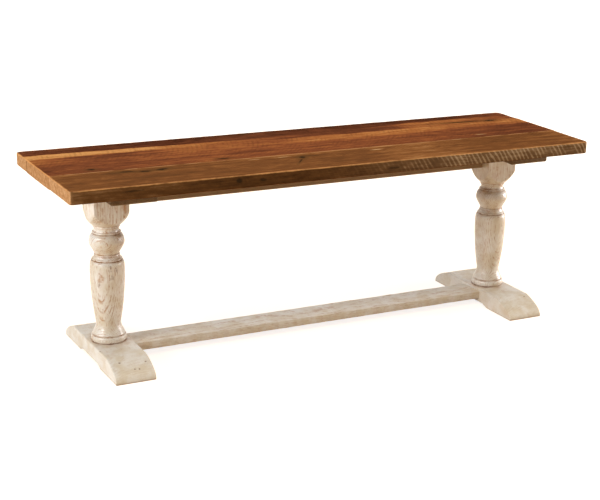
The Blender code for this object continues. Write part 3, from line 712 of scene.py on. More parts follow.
paint = {
    "cream": rgb(241, 233, 221), "creamShade": rgb(226, 211, 187), "glaze": rgb(180, 124, 70),
    "darkGlaze": rgb(128, 76, 34), "bareWood": rgb(196, 158, 112),
    "postShine": 0.80, "flatShine": 0.35, "bump": (0.35, 0.0004),
    # Clouds of shade and patches wiped bare, and the steps that pick them out
    "cloudScale": 26.0, "wipedScale": 70.0, "shade": (0.36, 0.66), "grainBare": (0.46, 0.60),
    "smudgeBare": (0.50, 0.66), "smudgeCloud": (0.44, 0.60), "hollowBare": (0.40, 0.60),
    # How strongly each place shows the glaze
    "smudge": 0.6, "hollow": 0.9, "deep": 0.75, "stain": 0.75, "rubbed": 0.45, "pores": 0.95,
    "relief": {"Latewood": 0.45, "Pores": -1.0}, "wipedRelief": 0.25, "roughness": 0.24,
    # On the flat pieces: width and raggedness of rubbed edges, the darkening along the bottom next
    # to the floor, the marks in the dents, the glaze at the ring that a post stands on and the
    # broad painted shade round it
    "rubbedEdge": (0.0030, 1.4), "rubbedShare": 0.25, "bottomDarkHeight": (0.0050, 0.0008), "bottomDark": 0.55,
    "dentMark": (1.3, 0.3), "ringCore": 0.1, "ringShadeReach": 6, "ringPaintedShade": 0.30,
    "ringDepth": (-0.004, -0.001),
}


def makePaintGlaze():
    # Colour, gloss and height of the finish from where the glaze has gathered
    group, given, made = newGroup("paintGlaze", {
        "Vector": None, "Latewood": 0.0, "Pores": 0.0, "Hollow": 0.0, "Smudge": 0.0, "Stain": 0.0,
        "Rubbed": 0.0, "Strength": 1.0}, ("Color", "Roughness", "Height"))
    cloud = noiseAt(given["Vector"], paint["cloudScale"], 4.0)
    wiped = noiseAt(given["Vector"], paint["wipedScale"])
    colour = mixTones(softStep(cloud, *paint["shade"]), paint["cream"], paint["creamShade"])
    grain = (given["Latewood"]
             * (given["Strength"] * (softStep(wiped, *paint["grainBare"]) * 0.65 + 0.25)))
    pores = given["Pores"] * (given["Strength"] * paint["pores"])
    stain = calc("MULTIPLY", larger(grain, pores), wiped * 0.9 + 0.5, True)
    colour = mixTones(stain, colour, paint["glaze"])
    # The glaze was wiped off the hollows by hand, so it stays in patches
    smudge = (given["Smudge"] * softStep(wiped, *paint["smudgeBare"])
              * softStep(cloud, *paint["smudgeCloud"]))
    colour = mixTones(smudge * paint["smudge"], colour, paint["glaze"])
    hollow = calc("MULTIPLY", given["Hollow"],
                  softStep(wiped, *paint["hollowBare"]) * 0.60 + 0.40, True)
    deepTone = mixTones(hollow * hollow * paint["deep"], paint["glaze"], paint["darkGlaze"])
    colour = mixTones(hollow * paint["hollow"], colour, deepTone)
    colour = mixTones(given["Stain"] * paint["stain"], colour, paint["darkGlaze"])
    colour = mixTones(given["Rubbed"] * paint["rubbed"], colour, paint["bareWood"])
    connect(colour, made["Color"])
    connect(cloud * 0.16 + paint["roughness"] + stain * 0.2, made["Roughness"])
    relief = sum(given[key] * depth for key, depth in paint["relief"].items())
    connect(relief + wiped * paint["wipedRelief"], made["Height"])
    return group


paintGlaze = makePaintGlaze()


def setPaint(shader, shine, inputs):
    finish = useGroup(paintGlaze, inputs)
    setSurface(shader, finish["Color"], finish["Roughness"], finish["Height"], paint["bump"], shine)


# Posts, turned by a geometry tree from one profile

post = {
    "blockSide": 2 * halfBlock, "blockLength": 0.080, "blockEasing": 0.0015,
    "shoulderHeight": 0.040, "shoulderLean": 0.0045, "shoulderSpread": 0.009,
    "shoulderStep": 0.0016, "collarRadius": 0.031, "collarHeight": 0.0045,
    "neckRadius": 0.0285, "neckHeight": 0.0105,
    "neckRingRadius": 0.0332, "neckRingHeight": 0.0048,
    "ballRadius": 0.0403, "ballHeight": 0.048,
    "waistRadius": 0.0277, "filletRadius": 0.0298, "filletHeight": 0.0034, "coveHeight": 0.0074,
    "vaseRingRadius": 0.0350, "vaseRingHeight": 0.0042, "vaseRingBulge": 0.0018,
    "vaseRadius": 0.0398, "ankleRadius": 0.0288, "ankleHeight": 0.045, "flareRadius": 0.0380,
    "grooveRadius": 0.0366, "grooveHeight": 0.0022,
    "baseRingRadius": 0.0410, "baseRingHeight": 0.0155,
    "spigotRadius": 0.018, "spigotLength": 0.018, "edge": 0.0006,
    "ballShape": ((0, 0.38), (0.13, 0.79), (0.34, 1), (0.46, 1), (0.62, 0.79), (0.80, 0.40),
                  (1, 0)),
    "vaseShape": ((0.004, 0.65), (0.035, 0.87), (0.09, 0.97), (0.22, 1), (0.38, 0.93), (0.65, 0.65),
                  (0.88, 0.25)),
    "flareShape": ((0, 0), (0.42, 0.20), (0.80, 0.72), (1, 1)),
    "turns": 96,
    "rings": {
        "left": {"Pith Across": 0.040, "Pith Deep": 0.044, "Lean": 0.02, "Spacing": 0.0027},
        "right": {"Pith Across": -0.012, "Pith Deep": 0.060, "Lean": -0.03, "Spacing": 0.0024}},
    "strength": {"left": 0.8, "right": 0.7},
    # Glaze on the block, with extra on its front and back faces as painted shade
    "blockGlaze": 0.60, "blockSmudge": 0.65, "blockEdge": (0.004, 0.022), "blockShadedFacing": (0.5, 0.8),
    "openGrain": (0.48, 0.62), "stainGrit": (420.0, 420.0, 150.0), "stainBare": (0.42, 0.60),
    "stainDrawn": (1.0, 1.0, 0.6), "hollowCore": 0.2, "smudgeReach": 5,
    # Where the glaze was left thick, as (x and y from the post's axis, z, radius, strength)
    "stains": {
        "left": ((0.014, -0.032, 0.304, 0.020, 0.75), (0.022, -0.032, 0.288, 0.017, 0.60),
                 (-0.035, -0.034, 0.336, 0.013, 0.75), (-0.030, -0.041, 0.385, 0.012, 0.50),
                 (-0.006, -0.039, 0.224, 0.007, 0.9), (0.007, -0.039, 0.220, 0.008, 0.9),
                 (-0.002, -0.039, 0.203, 0.007, 0.8), (-0.029, -0.026, 0.186, 0.007, 0.8),
                 (-0.024, -0.028, 0.120, 0.006, 0.7), (0.020, 0.034, 0.260, 0.012, 0.6),
                 (0.036, 0.010, 0.190, 0.009, 0.6)),
        "right": ((-0.026, -0.020, 0.300, 0.015, 0.7), (-0.030, -0.026, 0.262, 0.012, 0.6),
                  (0.016, -0.036, 0.205, 0.012, 0.6), (0.012, -0.036, 0.120, 0.012, 0.6),
                  (-0.035, -0.030, 0.334, 0.011, 0.6), (0.030, 0.024, 0.230, 0.010, 0.6)),
    },
}
postEnd, postTop = (corner.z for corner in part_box("post_left"))
postBottom = postEnd + post["spigotLength"]


def smoothRun(points, steps):
    ends = [Vector(point) for point in points]
    ends = [2 * ends[0] - ends[1]] + ends + [2 * ends[-1] - ends[-2]]
    run = []
    for before, start, end, after in zip(ends, ends[1:], ends[2:], ends[3:]):
        leave = start + (end - before) / 6
        arrive = end - (after - start) / 6
        run += [tuple(point[:2])
                for point in interpolate_bezier(start, leave, arrive, end, steps + 1)[:-1]]
    return run + [tuple(points[-1])]


def halfRound(radius, bulge, top, height, steps):
    bead = []
    for i in range(steps + 1):
        turn = math.pi * i / steps
        bead.append((radius - bulge + bulge * math.sin(turn),
                     top - height / 2 * (1 - math.cos(turn))))
    return bead


def shapedRun(shape, top, height, thin, full):
    return [(thin + (full - thin) * fullness, top - height * drop) for drop, fullness in shape]


def postProfile():
    # Radius and height from the top of the block down to the end of the spigot,
    # and the hollows that hold glaze as (height, half width, strength)
    p = post
    hollows = []
    corner = p["blockSide"] / math.sqrt(2) + 0.001
    z = postTop - p["blockLength"]
    shoulder = interpolate_bezier(
        Vector((corner, z + p["shoulderHeight"])),
        Vector((corner - p["shoulderLean"], z + p["shoulderHeight"] * 0.55)),
        Vector((p["collarRadius"] + p["shoulderSpread"], z + p["shoulderHeight"] * 0.15)),
        Vector((p["collarRadius"] + p["shoulderStep"], z)), 22)
    profile = [(corner, postTop)] + [tuple(point[:2]) for point in shoulder]
    hollows.append((z, 0.0024, 0.60))

    profile += [(p["collarRadius"], z), (p["collarRadius"], z - p["collarHeight"])]
    z -= p["collarHeight"]
    hollows.append((z - 0.001, 0.0020, 0.60))
    lip = (p["collarRadius"] + p["neckRadius"]) / 2
    neck = [(lip, z), (p["neckRadius"], z - p["neckHeight"] * 0.45), (lip, z - p["neckHeight"])]
    profile += smoothRun(neck, 6)
    z -= p["neckHeight"]
    hollows.append((z + 0.0008, 0.0020, 0.65))
    profile += halfRound(p["neckRingRadius"], p["neckRingRadius"] - lip, z,
                         p["neckRingHeight"], 12)[1:]
    z -= p["neckRingHeight"]
    hollows.append((z, 0.0026, 0.75))

    profile += smoothRun(
        shapedRun(p["ballShape"], z, p["ballHeight"], p["waistRadius"], p["ballRadius"]), 7)
    z -= p["ballHeight"]
    hollows.append((z, 0.0034, 0.65))
    profile.append((p["filletRadius"] - p["edge"], z - 2 * p["edge"]))
    profile.append((p["filletRadius"], z - p["filletHeight"]))
    z -= p["filletHeight"]
    hollows.append((z - 0.001, 0.0026, 0.85))
    coveEnd = p["vaseRingRadius"] - p["vaseRingBulge"]
    cove = [(p["filletRadius"] - p["edge"], z - p["edge"]),
            ((2 * p["filletRadius"] + coveEnd) / 3, z - p["coveHeight"] * 0.6),
            (coveEnd, z - p["coveHeight"])]
    profile += smoothRun(cove, 6)
    z -= p["coveHeight"]
    profile += halfRound(p["vaseRingRadius"], p["vaseRingBulge"], z, p["vaseRingHeight"], 12)[1:]
    z -= p["vaseRingHeight"]
    hollows.append((z + 0.0004, 0.0026, 0.90))

    baseTop = postBottom + p["baseRingHeight"] + p["grooveHeight"]
    ankle = postBottom + p["ankleHeight"]
    vase = shapedRun(p["vaseShape"], z, z - ankle, p["ankleRadius"], p["vaseRadius"])
    flare = shapedRun(p["flareShape"], ankle, ankle - baseTop, p["ankleRadius"], p["flareRadius"])
    profile += smoothRun(vase + flare, 8)
    grooveBottom = baseTop - p["grooveHeight"]
    hollows.append((grooveBottom + 0.001, 0.0028, 0.70))
    profile += [(p["grooveRadius"], baseTop - p["edge"]), (p["grooveRadius"], grooveBottom)]
    bulge = p["baseRingRadius"] - p["grooveRadius"] - p["edge"]
    profile += halfRound(p["baseRingRadius"], bulge, grooveBottom, p["baseRingHeight"], 18)
    hollows.append((postBottom + 0.0006, 0.0022, 0.95))
    profile += [(p["spigotRadius"], postBottom), (p["spigotRadius"], postEnd)]
    return profile, hollows


def makeTurningTree():
    # Turns a profile given as a line of points, then cuts it from a square blank with eased arrises
    tree, given, add, close = newShapeTree("turnedPost", {
        "Turns": 96, "Points": 10, "Axis X": 0.0, "Blank Side": 0.08, "Blank Easing": 0.0015,
        "Blank Height": 0.4, "Finish": None})
    weld = 0.00001

    # A grid whose columns go round the axis and whose rows follow the profile
    grid = add("MeshGrid", {"Size X": 1.0, "Size Y": 1.0, "Vertices X": given["Turns"] + 1,
                            "Vertices Y": given["Points"]})
    x, y, z = split(add("InputPosition"))
    angle = (x + 0.5) * (2 * math.pi)
    row = calc("ROUND", (y + 0.5) * (given["Points"] - 1))
    sample = add("SampleIndex", {"Geometry": given["Geometry"], "Index": row,
                                 "Value": add("InputPosition")},
                 data_type="FLOAT_VECTOR")
    radius, flat, height = split(sample)
    turned = joined(radius * calc("COSINE", angle), radius * calc("SINE", angle), height)
    placed = add("SetPosition", {"Geometry": grid, "Position": turned})
    closed = add("MergeByDistance", {"Geometry": add("FlipFaces", {"Mesh": placed}),
                                     "Distance": weld})

    # The blank: a square with rounded corners, filled and raised
    square = add("CurvePrimitiveQuadrilateral", {"Width": given["Blank Side"],
                                                 "Height": given["Blank Side"]})
    rounded = add("FilletCurve", {"Curve": square, "Radius": given["Blank Easing"], "Count": 4,
                                  "Limit Radius": True}, mode="POLY")
    filled = add("FillCurve", {"Curve": rounded})
    raised = add("ExtrudeMesh", {"Mesh": filled, "Offset": joined(0, 0, given["Blank Height"]),
                                 "Offset Scale": 1.0, "Individual": False})
    blank = add("JoinGeometry", {0: [raised, add("FlipFaces", {"Mesh": filled})]})
    welded = add("MergeByDistance", {"Geometry": blank, "Distance": weld})
    cut = add("MeshBoolean", {"Mesh 2": [closed, welded]}, operation="INTERSECT")
    close(add("Transform", {"Geometry": cut, "Translation": joined(given["Axis X"], 0, 0)}),
          given["Finish"])
    return tree


def postMaterial(side, hollows):
    material, shader, position = newMaterial("painted_post_" + side)
    local = vectorMath("ADD", position, (-postX[side], 0, 0))
    rings = useGroup(growthRings, {"Vector": local, "Wander": 0.006, "Pore Size": 0.6,
                                   **post["rings"][side]})
    z = split(position)[2]
    hollow, smudge = 0.0, 0.0
    for height, width, strength in hollows:
        away = calc("ABSOLUTE", z - height)
        hollow = larger(hollow, softStep(away, width, width * post["hollowCore"]) * strength)
        smudge = larger(smudge, softStep(away, width * post["smudgeReach"], width) * strength)

    # The block's flat faces hold more glaze than the turned parts; its front and back faces hold
    # more again, as painted shade against its brighter sides
    streaks = useGroup(fibre, {"Vector": local, "Offset": postX[side]})
    blockBottom = postTop - post["blockLength"]
    onBlock = softStep(z, *(blockBottom + rise for rise in post["blockEdge"]))
    # Painted shade: front and back faces darkened more than the sides
    onBlock = onBlock * (softStep(facing(z.tree)[1], *post["blockShadedFacing"]) * 0.75 + 0.25)
    opened = softStep(streaks["Fine"], *post["openGrain"]) * onBlock * post["blockGlaze"]
    stained = 0.0
    for *place, radius, strength in post["stains"][side]:
        away = lengthOf(scaled(vectorMath("SUBTRACT", local, tuple(place)), post["stainDrawn"]))
        stained = larger(stained, softStep(away, radius, radius * post["hollowCore"]) * strength)
    stained = stained * softStep(noiseAt(local, post["stainGrit"]), *post["stainBare"])
    setPaint(shader, paint["postShine"], {
        "Vector": position, "Latewood": rings["Latewood"], "Pores": larger(rings["Pores"], opened),
        "Hollow": hollow, "Smudge": larger(smudge, onBlock * post["blockSmudge"]), "Stain": stained,
        "Strength": post["strength"][side]})
    return material


profile, hollows = postProfile()
turningTree = makeTurningTree()
for side in ("left", "right"):
    line = bpy.data.meshes.new("profile_" + side)
    points = ([(0, 0, postTop)] + [(radius, 0, height) for radius, height in profile]
              + [(0, 0, postEnd)])
    line.from_pydata(points, [(i, i + 1) for i in range(len(points) - 1)], [])
    material = postMaterial(side, hollows)
    piece = runTree(turningTree, newPiece("profile_" + side, line), "turned_post_" + side, {
        "Turns": post["turns"], "Points": len(points), "Axis X": postX[side],
        "Blank Side": post["blockSide"], "Blank Easing": post["blockEasing"],
        "Blank Height": postTop + 0.01, "Finish": material})
    smoothOver(piece.data, 32)
    dress(piece, material, ["post_" + side])
    print("post", side, len(piece.data.polygons), "faces")


# Feet

foot = {"flat": 0.236, "toe": 0.005, "lowHandle": (0.05, 0.42), "highHandle": (0.54, 0.26),
        "reliefLength": 0.146, "reliefRun": 0.020, "reliefDepth": 0.007, "easing": 0.0022,
        "loopStep": 0.0035, "riseStep": 0.005, "pocketRadius": 0.0115, "pocketTop": 0.015,
        "wear": 0.0005, "wearReach": 0.006, "pith": (0.03, -0.30), "spacing": 0.0036,
        "strength": 0.20, "ringHollow": 0.0042, "grit": 70, "endMargin": 0.006, "sideMargin": 0.004,
        "dentReach": 1.5}
# Small dents on the toes as (side, x from the foot's middle, y, radius, depth)
footDents = (
    ("left", -0.025, -0.139, 0.0030, 0.0016), ("left", 0.004, -0.163, 0.0024, 0.0014),
    ("left", 0.015, -0.165, 0.0024, 0.0014), ("left", 0.034, -0.147, 0.0026, 0.0012),
    ("left", -0.044, -0.070, 0.0022, 0.0010), ("right", 0.030, -0.128, 0.0022, 0.0010),
    ("right", -0.020, 0.131, 0.0024, 0.0012), ("left", 0.022, 0.140, 0.0024, 0.0012),
)


def footOutline(length, height):
    half, flat = length / 2, foot["flat"] / 2
    slope, fall = half - flat, height - foot["toe"]
    lowRun, lowFall = foot["lowHandle"]
    highRun, highFall = foot["highHandle"]
    toe = interpolate_bezier(
        Vector((half, foot["toe"])), Vector((half - slope * lowRun, foot["toe"] + fall * lowFall)),
        Vector((flat + slope * highRun, height - fall * highFall)), Vector((flat, height)), 28)
    relief = foot["reliefLength"] / 2
    right = [(relief - foot["reliefRun"], foot["reliefDepth"]), (relief, 0), (half, 0)]
    right += [tuple(point[:2]) for point in toe]
    return right + [(-y, z) for y, z in reversed(right)]


def paintedMaterial(name, order, low, high, pith, look, hollowAt=None, dents=()):
    material, shader, position = newMaterial(name)
    z = split(position)[2]
    rings = useGroup(growthRings, {
        "Vector": grainAlong(position, order), "Pith Across": pith[0], "Pith Deep": pith[1],
        "Spacing": look["spacing"], "Wander": 0.02, "Pore Size": 0.55})
    hollow = 0.0
    if hollowAt:
        place, radius, width = hollowAt
        away = lengthOf(scaled(vectorMath("SUBTRACT", position, place), (1, 1, 0)))
        reach = calc("ABSOLUTE", away - radius)
        # A broad ring of painted shade round the post's base, beside the narrow line of glaze at
        # the joint
        smudge = softStep(reach, width * paint["ringShadeReach"], 0) * paint["ringPaintedShade"]
        hollow = larger(softStep(reach, width, width * paint["ringCore"]), smudge)
        hollow = hollow * softStep(z, *(place[2] + rise for rise in paint["ringDepth"]))
    # Darker along the bottom edge next to the floor
    stained = softStep(z, *paint["bottomDarkHeight"]) * paint["bottomDark"]
    for dentPlace, dentRadius in dents:
        away = vectorMath("DISTANCE", position, dentPlace, "Value")
        stained = larger(stained,
                         softStep(away, *(dentRadius * share for share in paint["dentMark"])))
    setPaint(shader, paint["flatShine"], {
        "Vector": position, "Latewood": rings["Latewood"], "Pores": rings["Pores"],
        "Hollow": hollow, "Stain": stained,
        "Rubbed": wornAt(position, low, high, *paint["rubbedEdge"]) * paint["rubbedShare"],
        "Strength": look["strength"]})
    return material


def cutWith(piece, cutters):
    # Takes the cutters out of the piece and clears them away
    for cutter in cutters:
        step = piece.modifiers.new("cut", "BOOLEAN")
        step.operation = "DIFFERENCE"
        step.solver = "EXACT"
        step.object = cutter
    name = piece.name
    piece.name = name + "_uncut"
    result = bakeDown(piece, name)
    for cutter in cutters:
        bpy.data.objects.remove(cutter, do_unlink=True)
    return result


def roundCutter(name, place, radius, height, sides=32):
    shape = bmesh.new()
    bmesh.ops.create_cone(shape, cap_ends=True, segments=sides, radius1=radius, radius2=radius,
                          depth=height)
    bmesh.ops.translate(shape, vec=Vector(place) + Vector((0, 0, height / 2)), verts=shape.verts)
    return newPiece(name, meshFrom(shape, name))


def makeFoot(side):
    node = "foot_" + side
    low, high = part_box(node)
    shape = bmesh.new()
    outline = [shape.verts.new((low.x, y, z)) for y, z in footOutline(high.y - low.y, high.z)]
    grown = bmesh.ops.extrude_face_region(shape, geom=[shape.faces.new(outline)])
    moved = [item for item in grown["geom"] if isinstance(item, bmesh.types.BMVert)]
    bmesh.ops.translate(shape, vec=(high.x - low.x, 0, 0), verts=moved)
    bmesh.ops.recalc_face_normals(shape, faces=shape.faces)
    sharp = [edge for edge in shape.edges if edge.calc_face_angle(0) > math.radians(30)]
    ease(shape, sharp, foot["easing"], 4, True)
    sliceAcross(shape, 0, low.x + foot["endMargin"], high.x - foot["endMargin"], foot["loopStep"])
    sliceAcross(shape, 1, low.y + foot["sideMargin"], high.y - foot["sideMargin"], foot["loopStep"])
    sliceAcross(shape, 2, 2 * foot["endMargin"], high.z - foot["endMargin"], foot["riseStep"])
    shape.normal_update()
    dents = [(Vector((postX[side] + x, y, 0)), radius, depth)
             for dentSide, x, y, radius, depth in footDents if dentSide == side]
    places = {}
    for vertex in shape.verts:
        depth = depthIn(vertex.co, low, high)
        rub = max(0.0, 1.0 - (sum(depth) - max(depth)) / foot["wearReach"])
        grit = 0.5 + noise.noise(vertex.co * foot["grit"])
        shift = -vertex.normal * rub * foot["wear"] * max(0.0, grit)
        for i, (place, radius, sink) in enumerate(dents):
            away = (Vector((vertex.co.x, vertex.co.y, 0)) - place).length
            if vertex.normal.z > 0.3 and away < radius * foot["dentReach"]:
                shift += -vertex.normal * sink * (1 - away / (radius * foot["dentReach"])) ** 2
                if i not in places or away < places[i][1]:
                    places[i] = (tuple(vertex.co), away, radius)
        if vertex.co.z > 0.0005:
            vertex.co += shift
    piece = newPiece("shaped_" + node, meshFrom(shape, node))
    pocket = roundCutter("pocket", (postX[side], 0, -0.01), foot["pocketRadius"],
                         foot["pocketTop"] + 0.01)
    piece = cutWith(piece, [pocket])
    smoothOver(piece.data, 30)
    pithAcross, pithDeep = foot["pith"]
    material = paintedMaterial(
        "painted_" + node, (0, 2, 1), low, high, (postX[side] + pithAcross, pithDeep), foot,
        (Vector((postX[side], 0, high.z)), post["baseRingRadius"] - 0.001, foot["ringHollow"]),
        [(place, radius) for place, away, radius in places.values()])
    dress(piece, material, [node])


for side in ("left", "right"):
    makeFoot(side)
print("feet made")


# Stretcher: a flat board whose long arrises are rubbed

stretcher = {"easing": 0.0015, "tenonLength": 0.024, "wear": 0.0006, "loopStep": 0.009,
             "pith": (0.03, -0.30), "spacing": 0.0034, "strength": 0.55, "grit": 45,
             "endMargin": 0.004}


def makeStretcher():
    low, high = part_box("stretcher")
    low.x += stretcher["tenonLength"]
    high.x -= stretcher["tenonLength"]
    shape = boxShape(low, high)
    longEdges = [edge for edge in shape.edges if edge.calc_length() > (high.x - low.x) / 2]
    ease(shape, longEdges, stretcher["easing"], 4)
    margin = stretcher["endMargin"]
    sliceAcross(shape, 0, low.x + margin, high.x - margin, stretcher["loopStep"])
    for vertex in shape.verts:
        depth = depthIn(vertex.co, low, high)
        rub = max(0.0, 1.0 - (depth[1] + depth[2]) / (2 * stretcher["easing"]))
        grit = max(0.0, 0.5 + noise.noise(vertex.co * stretcher["grit"]))
        vertex.co.y -= math.copysign(rub * grit * stretcher["wear"], vertex.co.y)
        vertex.co.z -= math.copysign(rub * grit * stretcher["wear"],
                                     vertex.co.z - (low.z + high.z) / 2)
    bmesh.ops.recalc_face_normals(shape, faces=shape.faces)
    mesh = meshFrom(shape, "tie_stretcher")
    smoothOver(mesh, 40)
    material = paintedMaterial("painted_stretcher", (1, 2, 0), low, high, stretcher["pith"],
                               stretcher)
    dress(newPiece("tie_stretcher", mesh), material, ["stretcher"])


makeStretcher()
print("stretcher made")


# Cleats and rail under the seat, in plain unpainted wood

cleat = {"easing": 0.0042, "wellRadius": 0.0046, "wellDepth": 0.0009, "above": 0.002,
         "tones": ((0.0, rgb(80, 62, 43)), (0.5, rgb(138, 112, 84)), (1.0, rgb(184, 156, 122))),
         "worn": rgb(150, 126, 96), "spacing": 0.003, "roughness": 0.58}
rail = {"tones": ((0.0, rgb(126, 97, 70)), (0.5, rgb(172, 142, 110)), (1.0, rgb(204, 176, 144))),
        "worn": rgb(186, 156, 120), "spacing": 0.0028, "roughness": 0.5}
plain = {"grain": {"Fine": 0.5, "Broad": 0.5, "Blotch": 0.35}, "late": -0.16, "pores": -0.2,
         "pith": (0.01, -0.05), "wornEdge": (0.0035, 1.4), "wornShade": 0.4, "specular": 0.12,
         "bump": (0.5, 0.0006)}


def plainWood(name, order, low, high, look):
    material, shader, position = newMaterial(name)
    grain = grainAlong(position, order)
    streaks = useGroup(fibre, {"Vector": grain, "Offset": low.x * 3})
    across, deep = order[:2]
    rings = useGroup(growthRings, {
        "Vector": grain, "Pith Across": (low[across] + high[across]) / 2 + plain["pith"][0],
        "Pith Deep": low[deep] + plain["pith"][1], "Spacing": look["spacing"], "Wander": 0.02,
        "Pore Size": 0.7})
    tone = streaked(streaks, plain["grain"]) + 0.5 + rings["Latewood"] * plain["late"]
    colour = toneRamp(tone + rings["Pores"] * plain["pores"], look["tones"])
    worn = wornAt(position, low, high, *plain["wornEdge"])
    colour = mixTones(worn * plain["wornShade"], colour, look["worn"])
    height = streaks["Fine"] * 0.8 + rings["Pores"] * -0.6
    setSurface(shader, colour, streaks["Fine"] * 0.15 + look["roughness"], height, plain["bump"],
               plain["specular"])
    return material


def screwNodes(prefix):
    return sorted(name for name in nodes if name.startswith(prefix))


def headsOf(names, upward):
    # Where each screw's head lies: the end that the screw is driven from
    heads = []
    for name in names:
        low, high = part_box(name)
        middle = (low + high) / 2
        heads.append((middle.x, middle.y, low.z if upward else high.z))
    return heads


def makeCleat(side):
    node = "cleat_" + side
    low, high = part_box(node)
    shape = boxShape(low, high)
    ease(shape, shape.edges[:], cleat["easing"], 5)
    piece = newPiece("seat_" + node, meshFrom(shape, node))
    above = cleat["above"]
    wells = [roundCutter("well", (x, y, z - above), cleat["wellRadius"],
                         above + cleat["wellDepth"], 24)
             for x, y, z in headsOf(screwNodes("cleat_screw_" + side), True)]
    piece = cutWith(piece, wells)
    smoothOver(piece.data, 35)
    dress(piece, plainWood(node + "_wood", (0, 2, 1), low, high, cleat), [node])


for side in ("left", "right"):
    makeCleat(side)
coat(nodes["centre_rail"], plainWood("centre_rail_wood", (1, 2, 0), *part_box("centre_rail"), rail))
print("cleats and rail made")


# Screws, with a cross recess and a thread, set out by a geometry tree

screw = {"Head Radius": 0.0042, "Shank Radius": 0.0017, "Thread Radius": 0.0021, "Pitch": 0.0018,
         "Rim": 0.0004, "Recess": 0.0026, "Slot": 0.0009}


def makeScrewTree():
    tree, given, add, close = newShapeTree("screwRow", {
        "Length": 0.03, **screw, "Threaded Share": 0.7, "Turn Over": 0.0, "Metal": None})
    length, wide, thin, rim, slot = (
        given[key] for key in ("Length", "Head Radius", "Shank Radius", "Rim", "Slot"))

    def lowered(shape, depth):
        return add("Transform", {"Geometry": shape, "Translation": joined(0, 0, depth * -1.0)})

    # Head: a thin rim and a cone under it, with a cross cut into the top
    cone = wide - thin
    rimPart = lowered(add("MeshCylinder", {"Vertices": 20, "Radius": wide, "Depth": rim}),
                      rim * 0.5)
    conePart = add("MeshCone", {"Vertices": 20, "Radius Top": wide, "Radius Bottom": thin,
                                "Depth": cone})
    conePart = lowered(conePart, rim + cone)
    head = add("MeshBoolean", {"Mesh 2": [rimPart, conePart]}, operation="UNION")
    arm = given["Recess"] * 2.0
    bars = [add("MeshCube", {"Size": joined(x, y, given["Recess"])})
            for x, y in ((arm, slot), (slot, arm))]
    crossed = add("MeshBoolean", {"Mesh 1": head, "Mesh 2": bars}, operation="DIFFERENCE")

    # Shank with its thread as a spiral ridge
    run = length - (rim + cone)
    shank = add("MeshCylinder", {"Vertices": 12, "Radius": thin, "Depth": run})
    shank = lowered(shank, rim + cone + run * 0.5)
    threadRun = run * given["Threaded Share"]
    spiral = add("CurveSpiral", {"Resolution": 10, "Rotations": threadRun / given["Pitch"],
                                 "Start Radius": thin, "End Radius": thin, "Height": threadRun})
    ridge = add("CurvePrimitiveCircle", {"Resolution": 3, "Radius": given["Thread Radius"] - thin},
                mode="RADIUS")
    thread = add("CurveToMesh", {"Curve": spiral, "Profile Curve": ridge, "Fill Caps": True})
    whole = add("JoinGeometry", {0: [lowered(thread, length - 0.001), shank, crossed]})

    atPoints = add("InstanceOnPoints", {
        "Points": given["Geometry"], "Instance": whole,
        "Rotation": joined(given["Turn Over"], 0, 0)})
    spin = put(tree, "FunctionNodeRandomValue", {"Max": math.pi, "Seed": 4}, 1, data_type="FLOAT")
    close(add("RotateInstances", {"Instances": atPoints, "Rotation": joined(0, 0, spin)}),
          given["Metal"])
    return tree


metal = {"light": rgb(196, 192, 178), "dark": rgb(150, 144, 128), "cloudScale": 240.0,
         "dulled": (0.35, 0.70), "scratches": (900.0, 2600.0, 900.0), "roughness": 0.28,
         "scratchedRoughness": 0.2, "bump": (0.2, 0.0001)}


def makeZinc():
    material, shader, position = newMaterial("zinc_plate")
    dulled = softStep(noiseAt(position, metal["cloudScale"]), *metal["dulled"])
    scratch = noiseAt(position, metal["scratches"], 2.0)
    shader["Metallic"].default_value = 1.0
    setSurface(shader, mixTones(dulled, metal["light"], metal["dark"]),
               scratch * metal["scratchedRoughness"] + metal["roughness"], scratch, metal["bump"])
    return material


screwTree = makeScrewTree()
zinc = makeZinc()
for prefix in ("cleat_screw_left", "cleat_screw_right", "post_screw_left", "post_screw_right",
               "rail_screw"):
    names = screwNodes(prefix)
    upward = not prefix.startswith("post")
    low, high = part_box(names[0])
    heads = bpy.data.meshes.new(prefix)
    heads.from_pydata(headsOf(names, upward), [], [])
    piece = runTree(screwTree, newPiece(prefix + "_points", heads), prefix + "s", {
        "Length": high.z - low.z, **screw, "Turn Over": math.pi if upward else 0.0, "Metal": zinc})
    smoothOver(piece.data, 30)
    dress(piece, zinc, names)
print("screws made")


# Pieces that keep their CAD shape: tongues, pins, lag bolts and washers

def innerWood(name, order):
    material, shader, position = newMaterial(name)
    streaks = useGroup(fibre, {"Vector": grainAlong(position, order), "Offset": 2.0})
    colour = toneRamp(streaks["Fine"] * 0.6 + 0.2,
                      ((0.0, rgb(150, 116, 78)), (1.0, rgb(214, 182, 138))))
    setSurface(shader, colour, streaks["Broad"] * 0.3 + 0.5, streaks["Fine"], (0.4, 0.0004))
    return material


innerFinishes = {
    "seam_tongue": innerWood("tongue_wood", (1, 2, 0)),
    "stretcher_pin": innerWood("pin_wood", (0, 1, 2)), "foot_bolt": zinc, "foot_washer": zinc}
for name, piece in nodes.items():
    for prefix, finish in innerFinishes.items():
        if name.startswith(prefix):
            coat(piece, finish)


# Floor, light and camera

stage = {"floor": rgb(216, 190, 156), "glow": 0.82, "farGlow": 1.0, "fade": (0.9, 2.4),
         "skyLight": 0.05, "skyTint": (1.0, 0.92, 0.82)}
